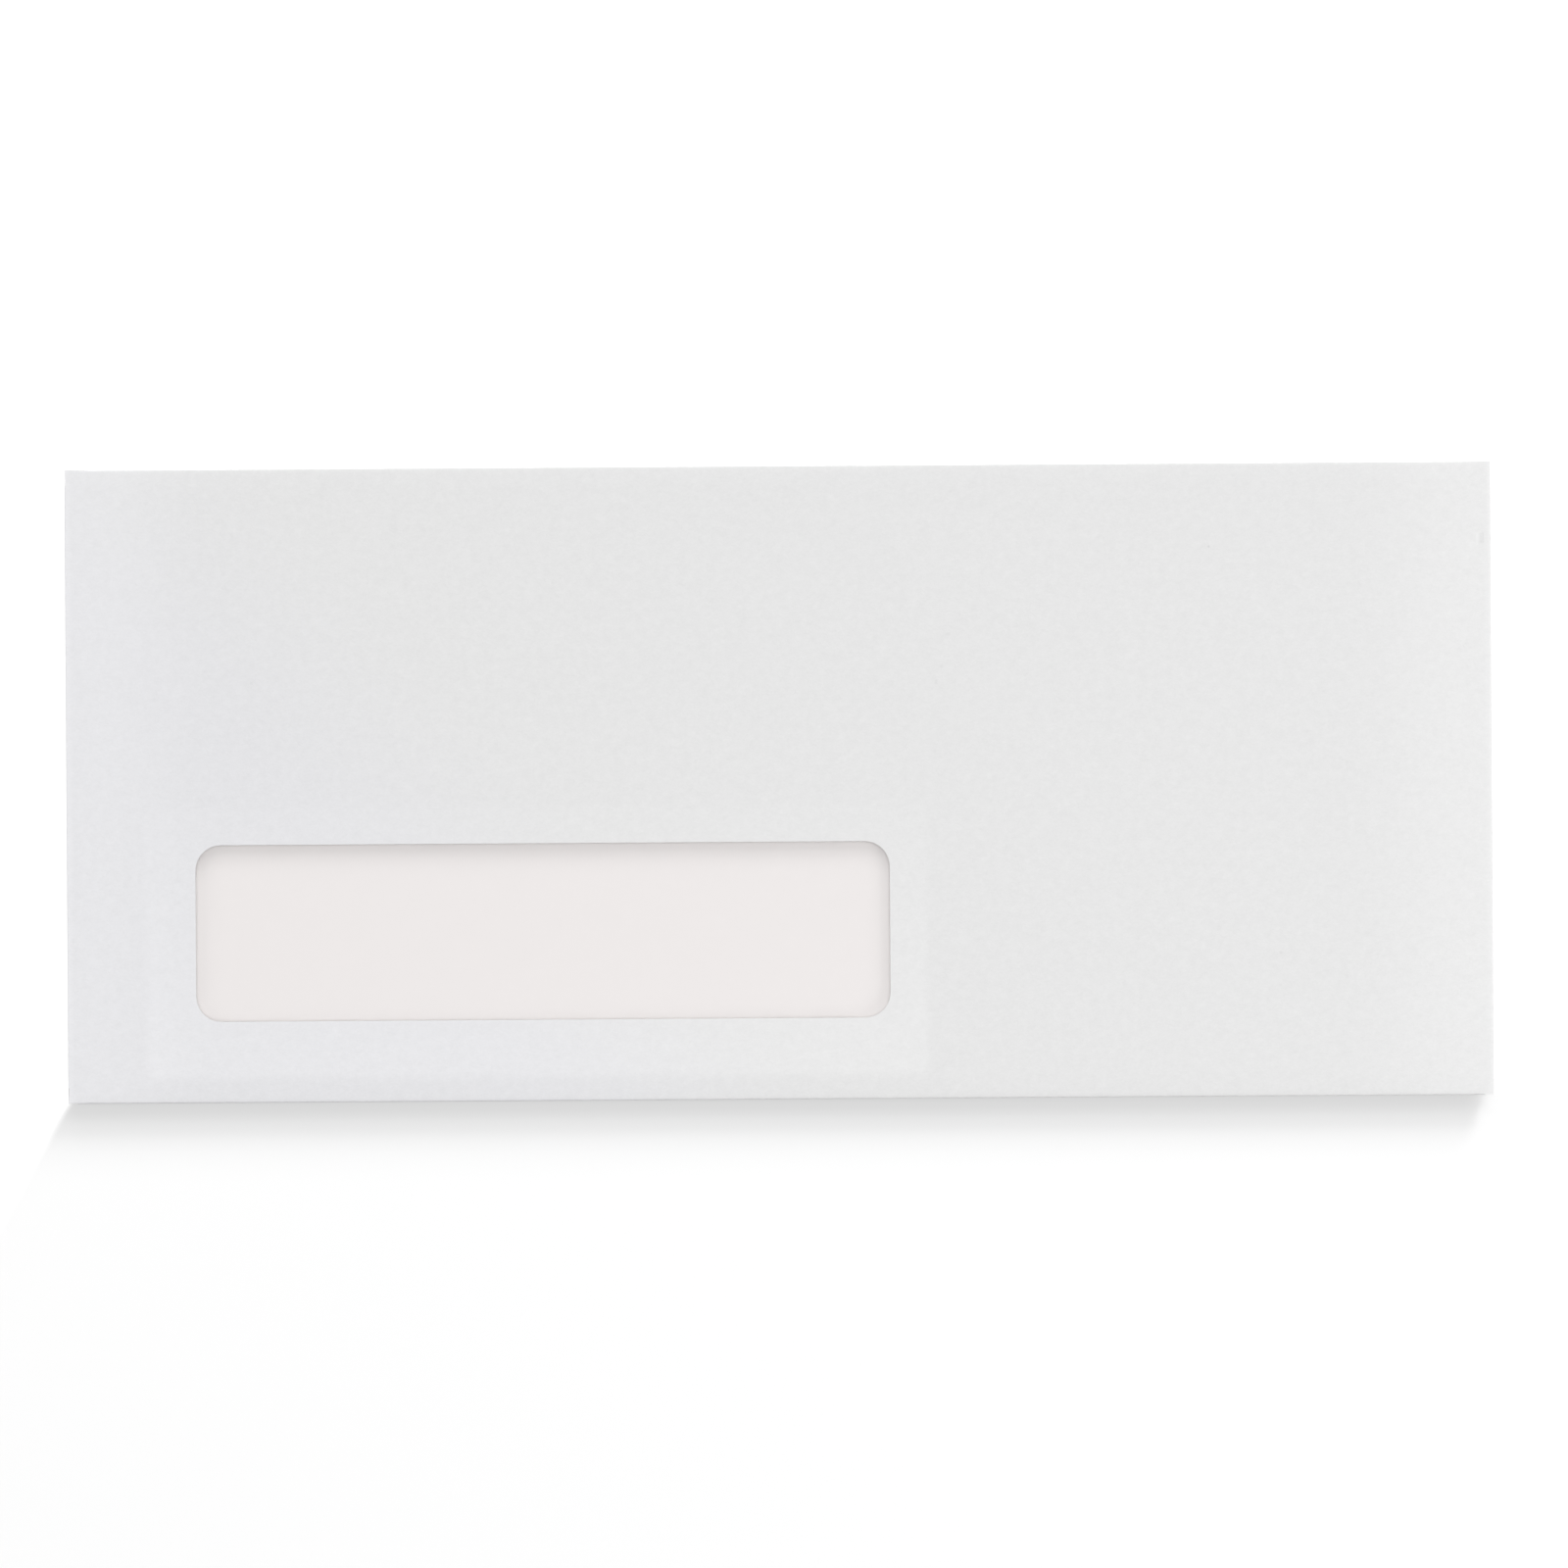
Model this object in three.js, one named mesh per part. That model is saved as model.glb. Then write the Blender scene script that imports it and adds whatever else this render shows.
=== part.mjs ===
// A long white window envelope, lying on its back with its face up and its seal flap folded under.
// Millimetres. X runs along the length, Y from the bottom fold to the top fold, and Z up out of the face.
// The origin is on the surface that the envelope lies on, under the middle of the face.
//
// The paper is one die-cut blank. Its four flaps turn about the four edges of the face panel:
// the two side flaps go in first, the back panel folds up over them and is glued to them,
// and the gummed seal flap folds down last, under everything, without being stuck.
import * as THREE from "three";

// The face panel
const envelopeLength = 228.6;
const envelopeHeight = 101.6;
const paperThickness = 0.12;

// The window and the clear film behind it
const windowLength = 111.3;
const windowHeight = 28.3;
const windowFromLeft = 20.6;
const windowFromBottom = 13;
const windowCornerRadius = 4.1;
const filmThickness = 0.035;
const filmPastWindow = { left: 8, right: 6, top: 6 };
const filmFromBottomFold = 3.9;
const filmGlueEdge = 1.2; // bare margin on both sides of the glue around the window

// The face is flat where the film is, and rolls down to the folds outside it
const rollClearOfFilm = 0.4;
const rollDrop = 0.15;

// What lies between the sheets
const glueThickness = 0.03;
const gumThickness = 0.025;
const contactClearance = 0.01;
const sealFlapGap = 0.45;
const sideFoldRadius = 0.14;

// The two side flaps, which end before the window
const sideFlapDepth = 18;
const sideFlapShoulder = 2.5;
const sideFlapLowerSlant = THREE.MathUtils.degToRad(75);
const sideFlapUpperSlant = THREE.MathUtils.degToRad(42);
const sideFlapCornerRadius = 4;

// The back panel, folded up from the bottom: it stops short of the top fold, at the throat
const throatDepth = 15;
const backPanelShoulder = 1.5;
const backPanelSlant = THREE.MathUtils.degToRad(88);
const backPanelCornerRadius = 10;

// The glue of the two side seams
const seamGlueWidth = 8;
const seamGlueFromTip = 3;
const seamGlueEnd = 2;

// The seal flap, folded down from the top
const sealFlapDepth = 38;
const sealFlapShoulder = 3;
const sealFlapSlant = THREE.MathUtils.degToRad(50);
const sealFlapCornerRadius = 13;
const gumWidth = 12;
const gumFromEdge = 1.5;
const gumFromFold = 10;
const gumInnerCornerRadius = 2;

// How finely curves are cut
const rollSteps = 4;
const foldQuarterSteps = 4;
const cornerSteps = 6;

// Heights of the sheets' middles, from the surface upwards
const sealFlapZ = paperThickness / 2;
const backPanelZ = sealFlapZ + paperThickness + sealFlapGap;
const sideFlapZ = backPanelZ + paperThickness + glueThickness + 2 * contactClearance;

// The roll at the edges of the face: a parabola that ends at the fold with this slope
const rollWidth = filmFromBottomFold - rollClearOfFilm;
const rollSlope = Math.atan((2 * rollDrop) / rollWidth);
const foldEdgeZ = sideFlapZ + sideFoldRadius * (1 + Math.cos(rollSlope));
const faceZ = foldEdgeZ + rollDrop;

// The film hangs from the underside of the face by its ring of glue
const filmGlueZ = faceZ - paperThickness / 2 - contactClearance - glueThickness;
const filmZ = filmGlueZ - contactClearance - filmThickness;

const windowLeft = windowFromLeft - envelopeLength / 2;
const windowBottom = windowFromBottom - envelopeHeight / 2;
const windowRight = windowLeft + windowLength;
const windowTop = windowBottom + windowHeight;
const film = {
  left: windowLeft - filmPastWindow.left,
  bottom: filmFromBottomFold - envelopeHeight / 2,
  right: windowRight + filmPastWindow.right,
  top: windowTop + filmPastWindow.top,
};

// A fold whose flap lies at flapZ, with its mid-sheet radius. Its centre is `inset` from the
// envelope's edge, and the face meets it at `start` from that edge.
function foldTo(flapZ) {
  const radius = (foldEdgeZ - flapZ) / (1 + Math.cos(rollSlope));
  const inset = radius + paperThickness / 2;
  return { flapZ, radius, inset, start: inset - radius * Math.sin(rollSlope) };
}
const sideFold = foldTo(sideFlapZ);
const backFold = foldTo(backPanelZ);
const sealFold = foldTo(sealFlapZ);

// One slanted edge of a flap, as [distance from the fold, place along the fold]: from its shoulder,
// round the corner of its tip
function flapEdge(depth, shoulder, slant, cornerRadius) {
  const tip = shoulder + depth / Math.tan(slant);
  const centre = [depth - cornerRadius, tip + cornerRadius * Math.tan(slant / 2)];
  const edge = [[0, shoulder]];
  for (let k = 0; k <= cornerSteps; k += 1) {
    const angle = slant * (1 - k / cornerSteps);
    const distance = centre[0] + cornerRadius * Math.cos(angle);
    edge.push([distance, centre[1] - cornerRadius * Math.sin(angle)]);
  }
  return edge;
}

const mirrored = (edge, span) => edge.map(([distance, along]) => [distance, span - along]);

// Where a flap's edge is along the fold, at a distance from the fold
function alongAt(edge, distance) {
  const next = edge.findIndex((point) => point[0] >= distance);
  if (next < 0) return edge[edge.length - 1][1];
  if (next === 0) return edge[0][1];
  const [from, to] = [edge[next - 1], edge[next]];
  return THREE.MathUtils.mapLinear(distance, from[0], to[0], from[1], to[1]);
}

const backPanelDepth = envelopeHeight - throatDepth;
const backPanelEdge = flapEdge(
  backPanelDepth, backPanelShoulder, backPanelSlant, backPanelCornerRadius,
);
const sealFlapEdge = flapEdge(
  sealFlapDepth, sealFlapShoulder, sealFlapSlant, sealFlapCornerRadius,
);
const sideFlapLowerEdge = flapEdge(
  sideFlapDepth, sideFlapShoulder, sideFlapLowerSlant, sideFlapCornerRadius,
);
const sideFlapUpperEdge = flapEdge(
  sideFlapDepth, sideFlapShoulder, sideFlapUpperSlant, sideFlapCornerRadius,
);

// The four sides of the face, counter-clockwise. Each has its fold, the two edges of its flap, the
// way out of the envelope, and how to place a point that is `along` the fold and `inwards` from it.
const sides = [
  {
    fold: backFold,
    edges: [backPanelEdge, mirrored(backPanelEdge, envelopeLength)],
    out: new THREE.Vector3(0, -1, 0),
    place: (along, inwards) => [along - envelopeLength / 2, inwards - envelopeHeight / 2],
  },
  {
    fold: sideFold,
    edges: [sideFlapLowerEdge, mirrored(sideFlapUpperEdge, envelopeHeight)],
    out: new THREE.Vector3(1, 0, 0),
    place: (along, inwards) => [envelopeLength / 2 - inwards, along - envelopeHeight / 2],
  },
  {
    fold: sealFold,
    edges: [sealFlapEdge, mirrored(sealFlapEdge, envelopeLength)],
    out: new THREE.Vector3(0, 1, 0),
    place: (along, inwards) => [envelopeLength / 2 - along, envelopeHeight / 2 - inwards],
  },
  {
    fold: sideFold,
    edges: [sideFlapUpperEdge, mirrored(sideFlapLowerEdge, envelopeHeight)],
    out: new THREE.Vector3(-1, 0, 0),
    place: (along, inwards) => [inwards - envelopeLength / 2, envelopeHeight / 2 - along],
  },
];

// A folded sheet: each point has a place on the outer and on the inner face of the paper
class Sheet {
  points = [];
  triangles = [];

  addPoint(middle, normal) {
    const half = normal.clone().multiplyScalar(paperThickness / 2);
    this.points.push({ outer: middle.clone().add(half), inner: middle.clone().sub(half) });
    return this.points.length - 1;
  }

  addStrip(rowA, rowB) {
    for (let i = 0; i + 1 < rowA.length; i += 1) {
      this.triangles.push([rowA[i], rowB[i], rowB[i + 1]]);
      this.triangles.push([rowA[i], rowB[i + 1], rowA[i + 1]]);
    }
  }

  // Both faces and the cut edges between them, as one closed surface
  toGeometry() {
    const positions = [];
    const put = (...corners) => corners.forEach((p) => positions.push(p.x, p.y, p.z));
    const openEdges = new Map();
    for (const triangle of this.triangles) {
      const [p, q, r] = triangle.map((i) => this.points[i]);
      put(p.outer, q.outer, r.outer);
      put(p.inner, r.inner, q.inner);
      triangle.forEach((i, corner) => {
        const j = triangle[(corner + 1) % 3];
        if (!openEdges.delete(`${j} ${i}`)) openEdges.set(`${i} ${j}`, [i, j]);
      });
    }
    for (const [i, j] of openEdges.values()) {
      const [p, q] = [this.points[i], this.points[j]];
      put(p.outer, p.inner, q.inner);
      put(p.outer, q.inner, q.outer);
    }
    const geometry = new THREE.BufferGeometry();
    geometry.setAttribute("position", new THREE.Float32BufferAttribute(positions, 3));
    geometry.computeVertexNormals();
    return geometry;
  }
}

// The sheet's normal where it has turned by this angle about a fold
function turnedNormal(side, angle) {
  const normal = side.out.clone().multiplyScalar(Math.sin(angle));
  normal.z = Math.cos(angle);
  return normal;
}

// A point of the face's rolled border, `inset` in from where the folds start, and its normal
function facePoint(side, along, inset) {
  const [x, y] = side.place(along, side.fold.start + inset);
  const endFold = y > 0 ? sealFold : backFold;
  const fromSide = envelopeLength / 2 - sideFold.start - Math.abs(x);
  const fromEnd = envelopeHeight / 2 - endFold.start - Math.abs(y);
  const [turnX, turnY] = [fromSide, fromEnd].map((distance) => Math.max(0, 1 - distance / rollWidth));
  const [flatX, flatY] = [1 - turnX ** 2, 1 - turnY ** 2];
  const steepest = (2 * rollDrop) / rollWidth;
  const normal = new THREE.Vector3(
    steepest * turnX * flatY * Math.sign(x),
    steepest * turnY * flatX * Math.sign(y),
    1,
  );
  const middle = new THREE.Vector3(x, y, foldEdgeZ + rollDrop * flatX * flatY);
  return { middle, normal: normal.normalize() };
}

// The window's outline, counter-clockwise, grown by a margin
function windowOutline(margin) {
  const [x0, x1] = [windowLeft - margin, windowRight + margin];
  const [y0, y1] = [windowBottom - margin, windowTop + margin];
  const radius = windowCornerRadius + margin;
  const path = new THREE.Path();
  path.absarc(x1 - radius, y0 + radius, radius, -Math.PI / 2, 0);
  path.absarc(x1 - radius, y1 - radius, radius, 0, Math.PI / 2);
  path.absarc(x0 + radius, y1 - radius, radius, Math.PI / 2, Math.PI);
  path.absarc(x0 + radius, y0 + radius, radius, Math.PI, 1.5 * Math.PI);
  return path.getPoints(cornerSteps);
}

// The face panel: rings that roll up from the folds, round a flat middle with the window cut out.
// It returns the outermost ring, which has a corner and the two ends of a flap for each side.
function addFacePanel(sheet) {
  const rings = [];
  for (let k = 0; k <= rollSteps; k += 1) {
    const inset = (rollWidth * k) / rollSteps;
    const ring = [];
    sides.forEach((side, i) => {
      const corner = sides[(i + 3) % 4].fold.start + inset;
      const [flapFrom, flapTo] = side.edges.map((edge) => alongAt(edge, side.fold.inset));
      [corner, flapFrom + inset, flapTo - inset].forEach((along, place) => {
        const { middle, normal } = facePoint(side, along, inset);
        const isFlapEnd = k === 0 && place > 0;
        ring.push(sheet.addPoint(middle, isFlapEnd ? turnedNormal(side, rollSlope) : normal));
      });
    });
    ring.push(ring[0]);
    rings.push(ring);
  }
  for (let k = 0; k < rollSteps; k += 1) sheet.addStrip(rings[k + 1], rings[k]);

  const border = rings[rollSteps].slice(0, -1);
  const hole = windowOutline(0).reverse();
  const up = new THREE.Vector3(0, 0, 1);
  const holePoints = hole.map((p) => sheet.addPoint(new THREE.Vector3(p.x, p.y, faceZ), up));
  const all = [...border, ...holePoints];
  const contour = border.map((i) => sheet.points[i].outer).map((p) => new THREE.Vector2(p.x, p.y));
  const triangles = THREE.ShapeUtils.triangulateShape(contour, [hole]);
  triangles.forEach((corners) => sheet.triangles.push(corners.map((i) => all[i])));
  return rings[0];
}

// A flap: its fold turns from the face's slope to flat, and then its rows follow both its edges
function addFlap(sheet, side, firstRow) {
  const { fold, edges, place } = side;
  const edgesAt = (distance) => edges.map((edge) => alongAt(edge, distance));
  let row = firstRow;
  const addRow = (ends, inwards, z, normal) => {
    const next = ends.map((along) => {
      const [x, y] = place(along, inwards);
      return sheet.addPoint(new THREE.Vector3(x, y, z), normal);
    });
    sheet.addStrip(row, next);
    row = next;
  };
  const foldEnds = edgesAt(fold.inset);
  const turn = (from, to) => {
    for (let k = 1; k <= foldQuarterSteps; k += 1) {
      const angle = THREE.MathUtils.lerp(from, to, k / foldQuarterSteps);
      const inwards = fold.inset - fold.radius * Math.sin(angle);
      const z = fold.flapZ + fold.radius * (1 + Math.cos(angle));
      addRow(foldEnds, inwards, z, turnedNormal(side, angle));
    }
  };
  turn(rollSlope, Math.PI / 2);
  turn(Math.PI / 2, Math.PI);

  const sameRow = paperThickness / 100;
  const distances = edges.flat().map((point) => point[0]);
  distances.sort((a, b) => a - b);
  let last = fold.inset;
  for (const distance of distances) {
    if (distance > last + sameRow) {
      addRow(edgesAt(distance), distance, fold.flapZ, turnedNormal(side, Math.PI));
      last = distance;
    }
  }
}

function envelopeBlank() {
  const sheet = new Sheet();
  const ring = addFacePanel(sheet);
  sides.forEach((side, i) => addFlap(sheet, side, [ring[3 * i + 1], ring[3 * i + 2]]));
  return sheet.toGeometry();
}

// A flat layer of the given outline, from z upwards
function layer(shape, z, thickness) {
  const settings = { depth: thickness, bevelEnabled: false, curveSegments: cornerSteps };
  return new THREE.ExtrudeGeometry(shape, settings).translate(0, 0, z);
}

function rectangle(x0, y0, x1, y1) {
  const corners = [[x0, y0], [x1, y0], [x1, y1], [x0, y1]];
  return new THREE.Shape(corners.map(([x, y]) => new THREE.Vector2(x, y)));
}

function windowFilm() {
  return layer(rectangle(film.left, film.bottom, film.right, film.top), filmZ, filmThickness);
}

// The ring of glue round the window, between the film and the face
function filmGlue() {
  const edge = filmGlueEdge;
  const shape = rectangle(film.left + edge, film.bottom + edge, film.right - edge, film.top - edge);
  shape.holes.push(new THREE.Path(windowOutline(edge).reverse()));
  return layer(shape, filmGlueZ, glueThickness);
}

// A strip of glue between a side flap and the back panel, where both have straight edges
function seamGlue(side) {
  const far = sideFlapDepth - seamGlueFromTip;
  const near = far - seamGlueWidth;
  const low = alongAt(sideFlapLowerEdge, far) + seamGlueEnd;
  const flapHigh = envelopeHeight - alongAt(sideFlapUpperEdge, far);
  const panelHigh = backPanelDepth - backPanelCornerRadius;
  const high = Math.min(flapHigh, panelHigh) - seamGlueEnd;
  const xs = [near, far].map((inwards) => side * (envelopeLength / 2 - inwards));
  const ys = [low, high].map((along) => along - envelopeHeight / 2);
  const shape = rectangle(Math.min(...xs), ys[0], Math.max(...xs), ys[1]);
  return layer(shape, backPanelZ + paperThickness / 2 + contactClearance, glueThickness);
}

// The dry gum on the inner face of the seal flap: a band that follows its slanted sides and its tip
function sealGum() {
  const bandEdge = (inset, cornerRadius) => {
    const shoulder = sealFlapShoulder + inset / Math.sin(sealFlapSlant);
    const edge = flapEdge(sealFlapDepth - inset, shoulder, sealFlapSlant, cornerRadius);
    return [[gumFromFold, alongAt(edge, gumFromFold)], ...edge.slice(1)];
  };
  const outer = bandEdge(gumFromEdge, sealFlapCornerRadius - gumFromEdge);
  const inner = bandEdge(gumFromEdge + gumWidth, gumInnerCornerRadius);
  const outline = [
    ...outer,
    ...mirrored(outer, envelopeLength).reverse(),
    ...mirrored(inner, envelopeLength),
    ...[...inner].reverse(),
  ];
  const onFlap = ([distance, along]) => new THREE.Vector2(...sides[2].place(along, distance));
  const shape = new THREE.Shape(outline.map(onFlap));
  return layer(shape, sealFlapZ + paperThickness / 2 + contactClearance, gumThickness);
}

const paper = new THREE.MeshStandardMaterial({ color: 0xe7e7e8, roughness: 0.85, metalness: 0 });
const dryGlue = new THREE.MeshStandardMaterial({ color: 0xe9e4d6, roughness: 0.5, metalness: 0 });
const dryGum = new THREE.MeshStandardMaterial({ color: 0xe6e0cf, roughness: 0.25, metalness: 0 });
const clearFilm = new THREE.MeshStandardMaterial({ color: 0xf2f0ef, roughness: 0.12, metalness: 0 });
clearFilm.transparent = true;
clearFilm.opacity = 0.25;

const envelope = new THREE.Group();
function addPiece(name, geometry, material) {
  const mesh = new THREE.Mesh(geometry, material);
  mesh.name = name;
  envelope.add(mesh);
}
addPiece("envelope_blank", envelopeBlank(), paper);
addPiece("window_film", windowFilm(), clearFilm);
addPiece("film_glue", filmGlue(), dryGlue);
addPiece("seam_glue_left", seamGlue(-1), dryGlue);
addPiece("seam_glue_right", seamGlue(1), dryGlue);
addPiece("seal_gum", sealGum(), dryGum);

export default envelope;
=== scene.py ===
"""A long white window envelope that lies face up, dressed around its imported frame.

Metres throughout. X runs along the length, Y from the bottom fold to the top fold, Z up out of the
face. The paper is one folded sheet, and the other pieces lie between its layers.
"""

import logging
import math
from dataclasses import dataclass, field, replace
from enum import Enum

import bpy
from mathutils import Euler, Matrix, Vector, noise
from mathutils.geometry import delaunay_2d_cdt


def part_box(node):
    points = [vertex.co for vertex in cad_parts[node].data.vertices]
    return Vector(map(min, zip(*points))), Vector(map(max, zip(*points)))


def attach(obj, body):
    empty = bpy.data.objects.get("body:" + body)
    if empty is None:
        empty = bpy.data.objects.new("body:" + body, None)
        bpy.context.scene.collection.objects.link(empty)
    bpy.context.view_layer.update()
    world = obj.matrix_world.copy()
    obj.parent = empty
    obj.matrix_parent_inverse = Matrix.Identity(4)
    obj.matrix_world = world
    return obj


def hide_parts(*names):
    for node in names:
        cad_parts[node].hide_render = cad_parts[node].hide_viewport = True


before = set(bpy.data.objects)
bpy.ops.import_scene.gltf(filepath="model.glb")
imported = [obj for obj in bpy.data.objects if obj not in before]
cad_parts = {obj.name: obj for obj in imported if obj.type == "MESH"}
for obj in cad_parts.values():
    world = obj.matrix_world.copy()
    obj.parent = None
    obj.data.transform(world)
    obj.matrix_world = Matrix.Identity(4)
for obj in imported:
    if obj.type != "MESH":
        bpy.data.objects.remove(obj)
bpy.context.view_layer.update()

LOG = logging.getLogger("window_envelope")
MM = 0.001
BODY = "root"
CORNER_STEPS = 14
NANOMETRE_DIGITS = 9
SAME_POINT = 1e-9
MARK_SOFTNESS = 0.22 * MM
UP = Vector((0.0, 0.0, 1.0))

Colour = tuple[float, float, float]
Edge = list[tuple[float, float]]
Socket = bpy.types.NodeSocket
Sockets = dict[str, Socket]
Source = Socket | float | tuple
Inputs = dict[object, Source]


class Side(Enum):
    """The sides of the face, counter-clockwise as it is read, by the way that each looks out."""

    BOTTOM = (0.0, -1.0)
    RIGHT = (1.0, 0.0)
    TOP = (0.0, 1.0)
    LEFT = (-1.0, 0.0)


class Skin(Enum):
    """The surfaces of the paper, in the order of the sheet's material slots."""

    OUTER = 0
    INNER = 1
    CUT_EDGE = 2


# Node trees


class Nodes:
    """A node tree that is being built. A source is an output socket or a plain value."""

    def __init__(self, tree: bpy.types.NodeTree) -> None:
        """Build in a tree."""
        self.tree = tree

    def feed(self, node: bpy.types.Node, inputs: Inputs) -> None:
        """Link or set the inputs of a node.

        Args:
            node: The node.
            inputs: Sources by the input's name or number.
        """
        for name, source in inputs.items():
            if isinstance(source, Socket):
                self.tree.links.new(source, node.inputs[name])
            else:
                node.inputs[name].default_value = source

    def add(self, kind: str, inputs: Inputs | None = None, **settings: object) -> bpy.types.Node:
        """Add a node.

        Args:
            kind: Its type, such as "ShaderNodeBump".
            inputs: Sources by the input's name or number.
            **settings: Values for its own properties.

        Returns:
            The node.
        """
        node = self.tree.nodes.new(kind)
        for name, value in settings.items():
            setattr(node, name, value)
        self.feed(node, inputs or {})
        return node

    def math(self, operation: str, *sources: Source, clamp: bool = False) -> Socket:
        """The result of a Math node on its sources, kept between 0 and 1 where clamp is set."""
        node = self.add("ShaderNodeMath", dict(enumerate(sources)), operation=operation, use_clamp=clamp)
        return node.outputs[0]

    def vector(self, operation: str, **inputs: Source) -> Socket:
        """The result of a Vector Math node with inputs Vector and Other, or Vector and Scale."""
        numbered = {1 if name == "Other" else name: source for name, source in inputs.items()}
        return self.add("ShaderNodeVectorMath", numbered, operation=operation).outputs[0]

    def combined(self, **axes: Source) -> Socket:
        """A vector with the X, Y and Z that are given, and 0 for the others."""
        return self.add("ShaderNodeCombineXYZ", axes).outputs[0]

    def axes(self, vector: Socket) -> Sockets:
        """The X, Y and Z of a vector."""
        return dict(self.add("ShaderNodeSeparateXYZ", {0: vector}).outputs.items())

    def noise(self, place: Socket, size: Source, dimensions: str = "3D", **inputs: Source) -> Socket:
        """A noise whose features have a size, with values round 0.5.

        Args:
            place: The coordinates.
            size: The size.
            dimensions: "3D", or "4D" with W as one more input.
            **inputs: The node's other inputs.

        Returns:
            The value.
        """
        inputs |= {"Vector": place, "Scale": self.math("DIVIDE", 1.0, size)}
        return self.add("ShaderNodeTexNoise", inputs, noise_dimensions=dimensions).outputs[0]

    def ramp(
        self, value: Source, low: Source, high: Source, start: float = 0.0, end: float = 1.0
    ) -> Socket:
        """A smooth ramp from start to end while a value goes from low to high."""
        inputs = {"Value": value, "From Min": low, "From Max": high, "To Min": start, "To Max": end}
        return self.add("ShaderNodeMapRange", inputs, interpolation_type="SMOOTHSTEP").outputs["Result"]

    def mixed(self, share: Source, first: Colour, second: Colour) -> Socket:
        """A mix of two colours. A Mix node's colours are its inputs 6 and 7 and its output 2."""
        inputs = {0: share, 6: (*first, 1.0), 7: (*second, 1.0)}
        return self.add("ShaderNodeMix", inputs, data_type="RGBA").outputs[2]


class Group(Nodes):
    """A node group with named inputs and outputs."""

    socket_types = {float: "Float", int: "Int", tuple: "Vector"}

    def __init__(self, name: str, kind: str, inputs: dict[str, object], outputs: dict[str, str]) -> None:
        """Start the group.

        Args:
            name: Its name.
            kind: "Shader" or "Geometry".
            inputs: Each input's default value, or the name of its type where it has none.
            outputs: The name of each output's type.
        """
        super().__init__(bpy.data.node_groups.new(name, f"{kind}NodeTree"))
        new_socket = self.tree.interface.new_socket
        for label, value in inputs.items():
            bare = isinstance(value, str)
            named = value if bare else self.socket_types[type(value)]
            socket = new_socket(name=label, in_out="INPUT", socket_type=f"NodeSocket{named}")
            if not bare:
                socket.default_value = value
        for label, named in outputs.items():
            new_socket(name=label, in_out="OUTPUT", socket_type=f"NodeSocket{named}")
        self.source: Sockets = dict(self.add("NodeGroupInput").outputs.items())
        self.result = self.add("NodeGroupOutput")

    def give(self, **outputs: Source) -> bpy.types.NodeTree:
        """Feed the group's outputs and return its tree."""
        self.feed(self.result, outputs)
        return self.tree


class GridGroup(Group):
    """A Geometry Nodes tree that starts from a grid and ends as a dressed plain mesh."""

    def __init__(self, name: str, inputs: dict[str, object]) -> None:
        """Start the tree with its grid.

        Args:
            name: Its name.
            inputs: Default values of its inputs besides those of the grid.
        """
        grid = {"Length": 0.1, "Height": 0.04, "Columns": 10, "Rows": 10, "Centre": (0.0, 0.0, 0.0)}
        inputs = {"Geometry": "Geometry", **grid, **inputs, "Material": "Material"}
        super().__init__(name, "Geometry", inputs, {"Geometry": "Geometry"})
        ties = {"Size X": "Length", "Size Y": "Height", "Vertices X": "Columns", "Vertices Y": "Rows"}
        sizes = {socket: self.source[label] for socket, label in ties.items()}
        self.grid = self.add("GeometryNodeMeshGrid", sizes).outputs["Mesh"]

    def centred(self, geometry: Socket) -> Socket:
        """A geometry moved to the tree's centre."""
        inputs = {"Geometry": geometry, "Translation": self.source["Centre"]}
        return self.add("GeometryNodeTransform", inputs).outputs[0]

    def finish(self, geometry: Socket) -> None:
        """End the tree: a geometry is made real and dressed in the tree's material.

        Args:
            geometry: The geometry.
        """
        real = self.add("GeometryNodeRealizeInstances", {0: geometry}).outputs[0]
        inputs = {"Geometry": real, "Material": self.source["Material"]}
        self.give(Geometry=self.add("GeometryNodeSetMaterial", inputs).outputs[0])

    def run(self, name: str, values: dict[str, object]) -> bpy.types.Object:
        """Run the tree and keep the result as a plain mesh.

        Args:
            name: Name of the piece.
            values: The tree's inputs by name.

        Returns:
            An object that holds the result and has no modifier.
        """
        obj = link_object(name, bpy.data.meshes.new(name))
        modifier = obj.modifiers.new(self.tree.name, "NODES")
        modifier.node_group = self.tree
        for item in self.tree.interface.items_tree:
            if item.in_out == "INPUT" and item.name in values:
                modifier[item.identifier] = values[item.name]
        depsgraph = bpy.context.evaluated_depsgraph_get()
        result = bpy.data.meshes.new_from_object(obj.evaluated_get(depsgraph), depsgraph=depsgraph)
        obj.modifiers.clear()
        obj.data = result
        result.name = name
        return obj


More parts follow.
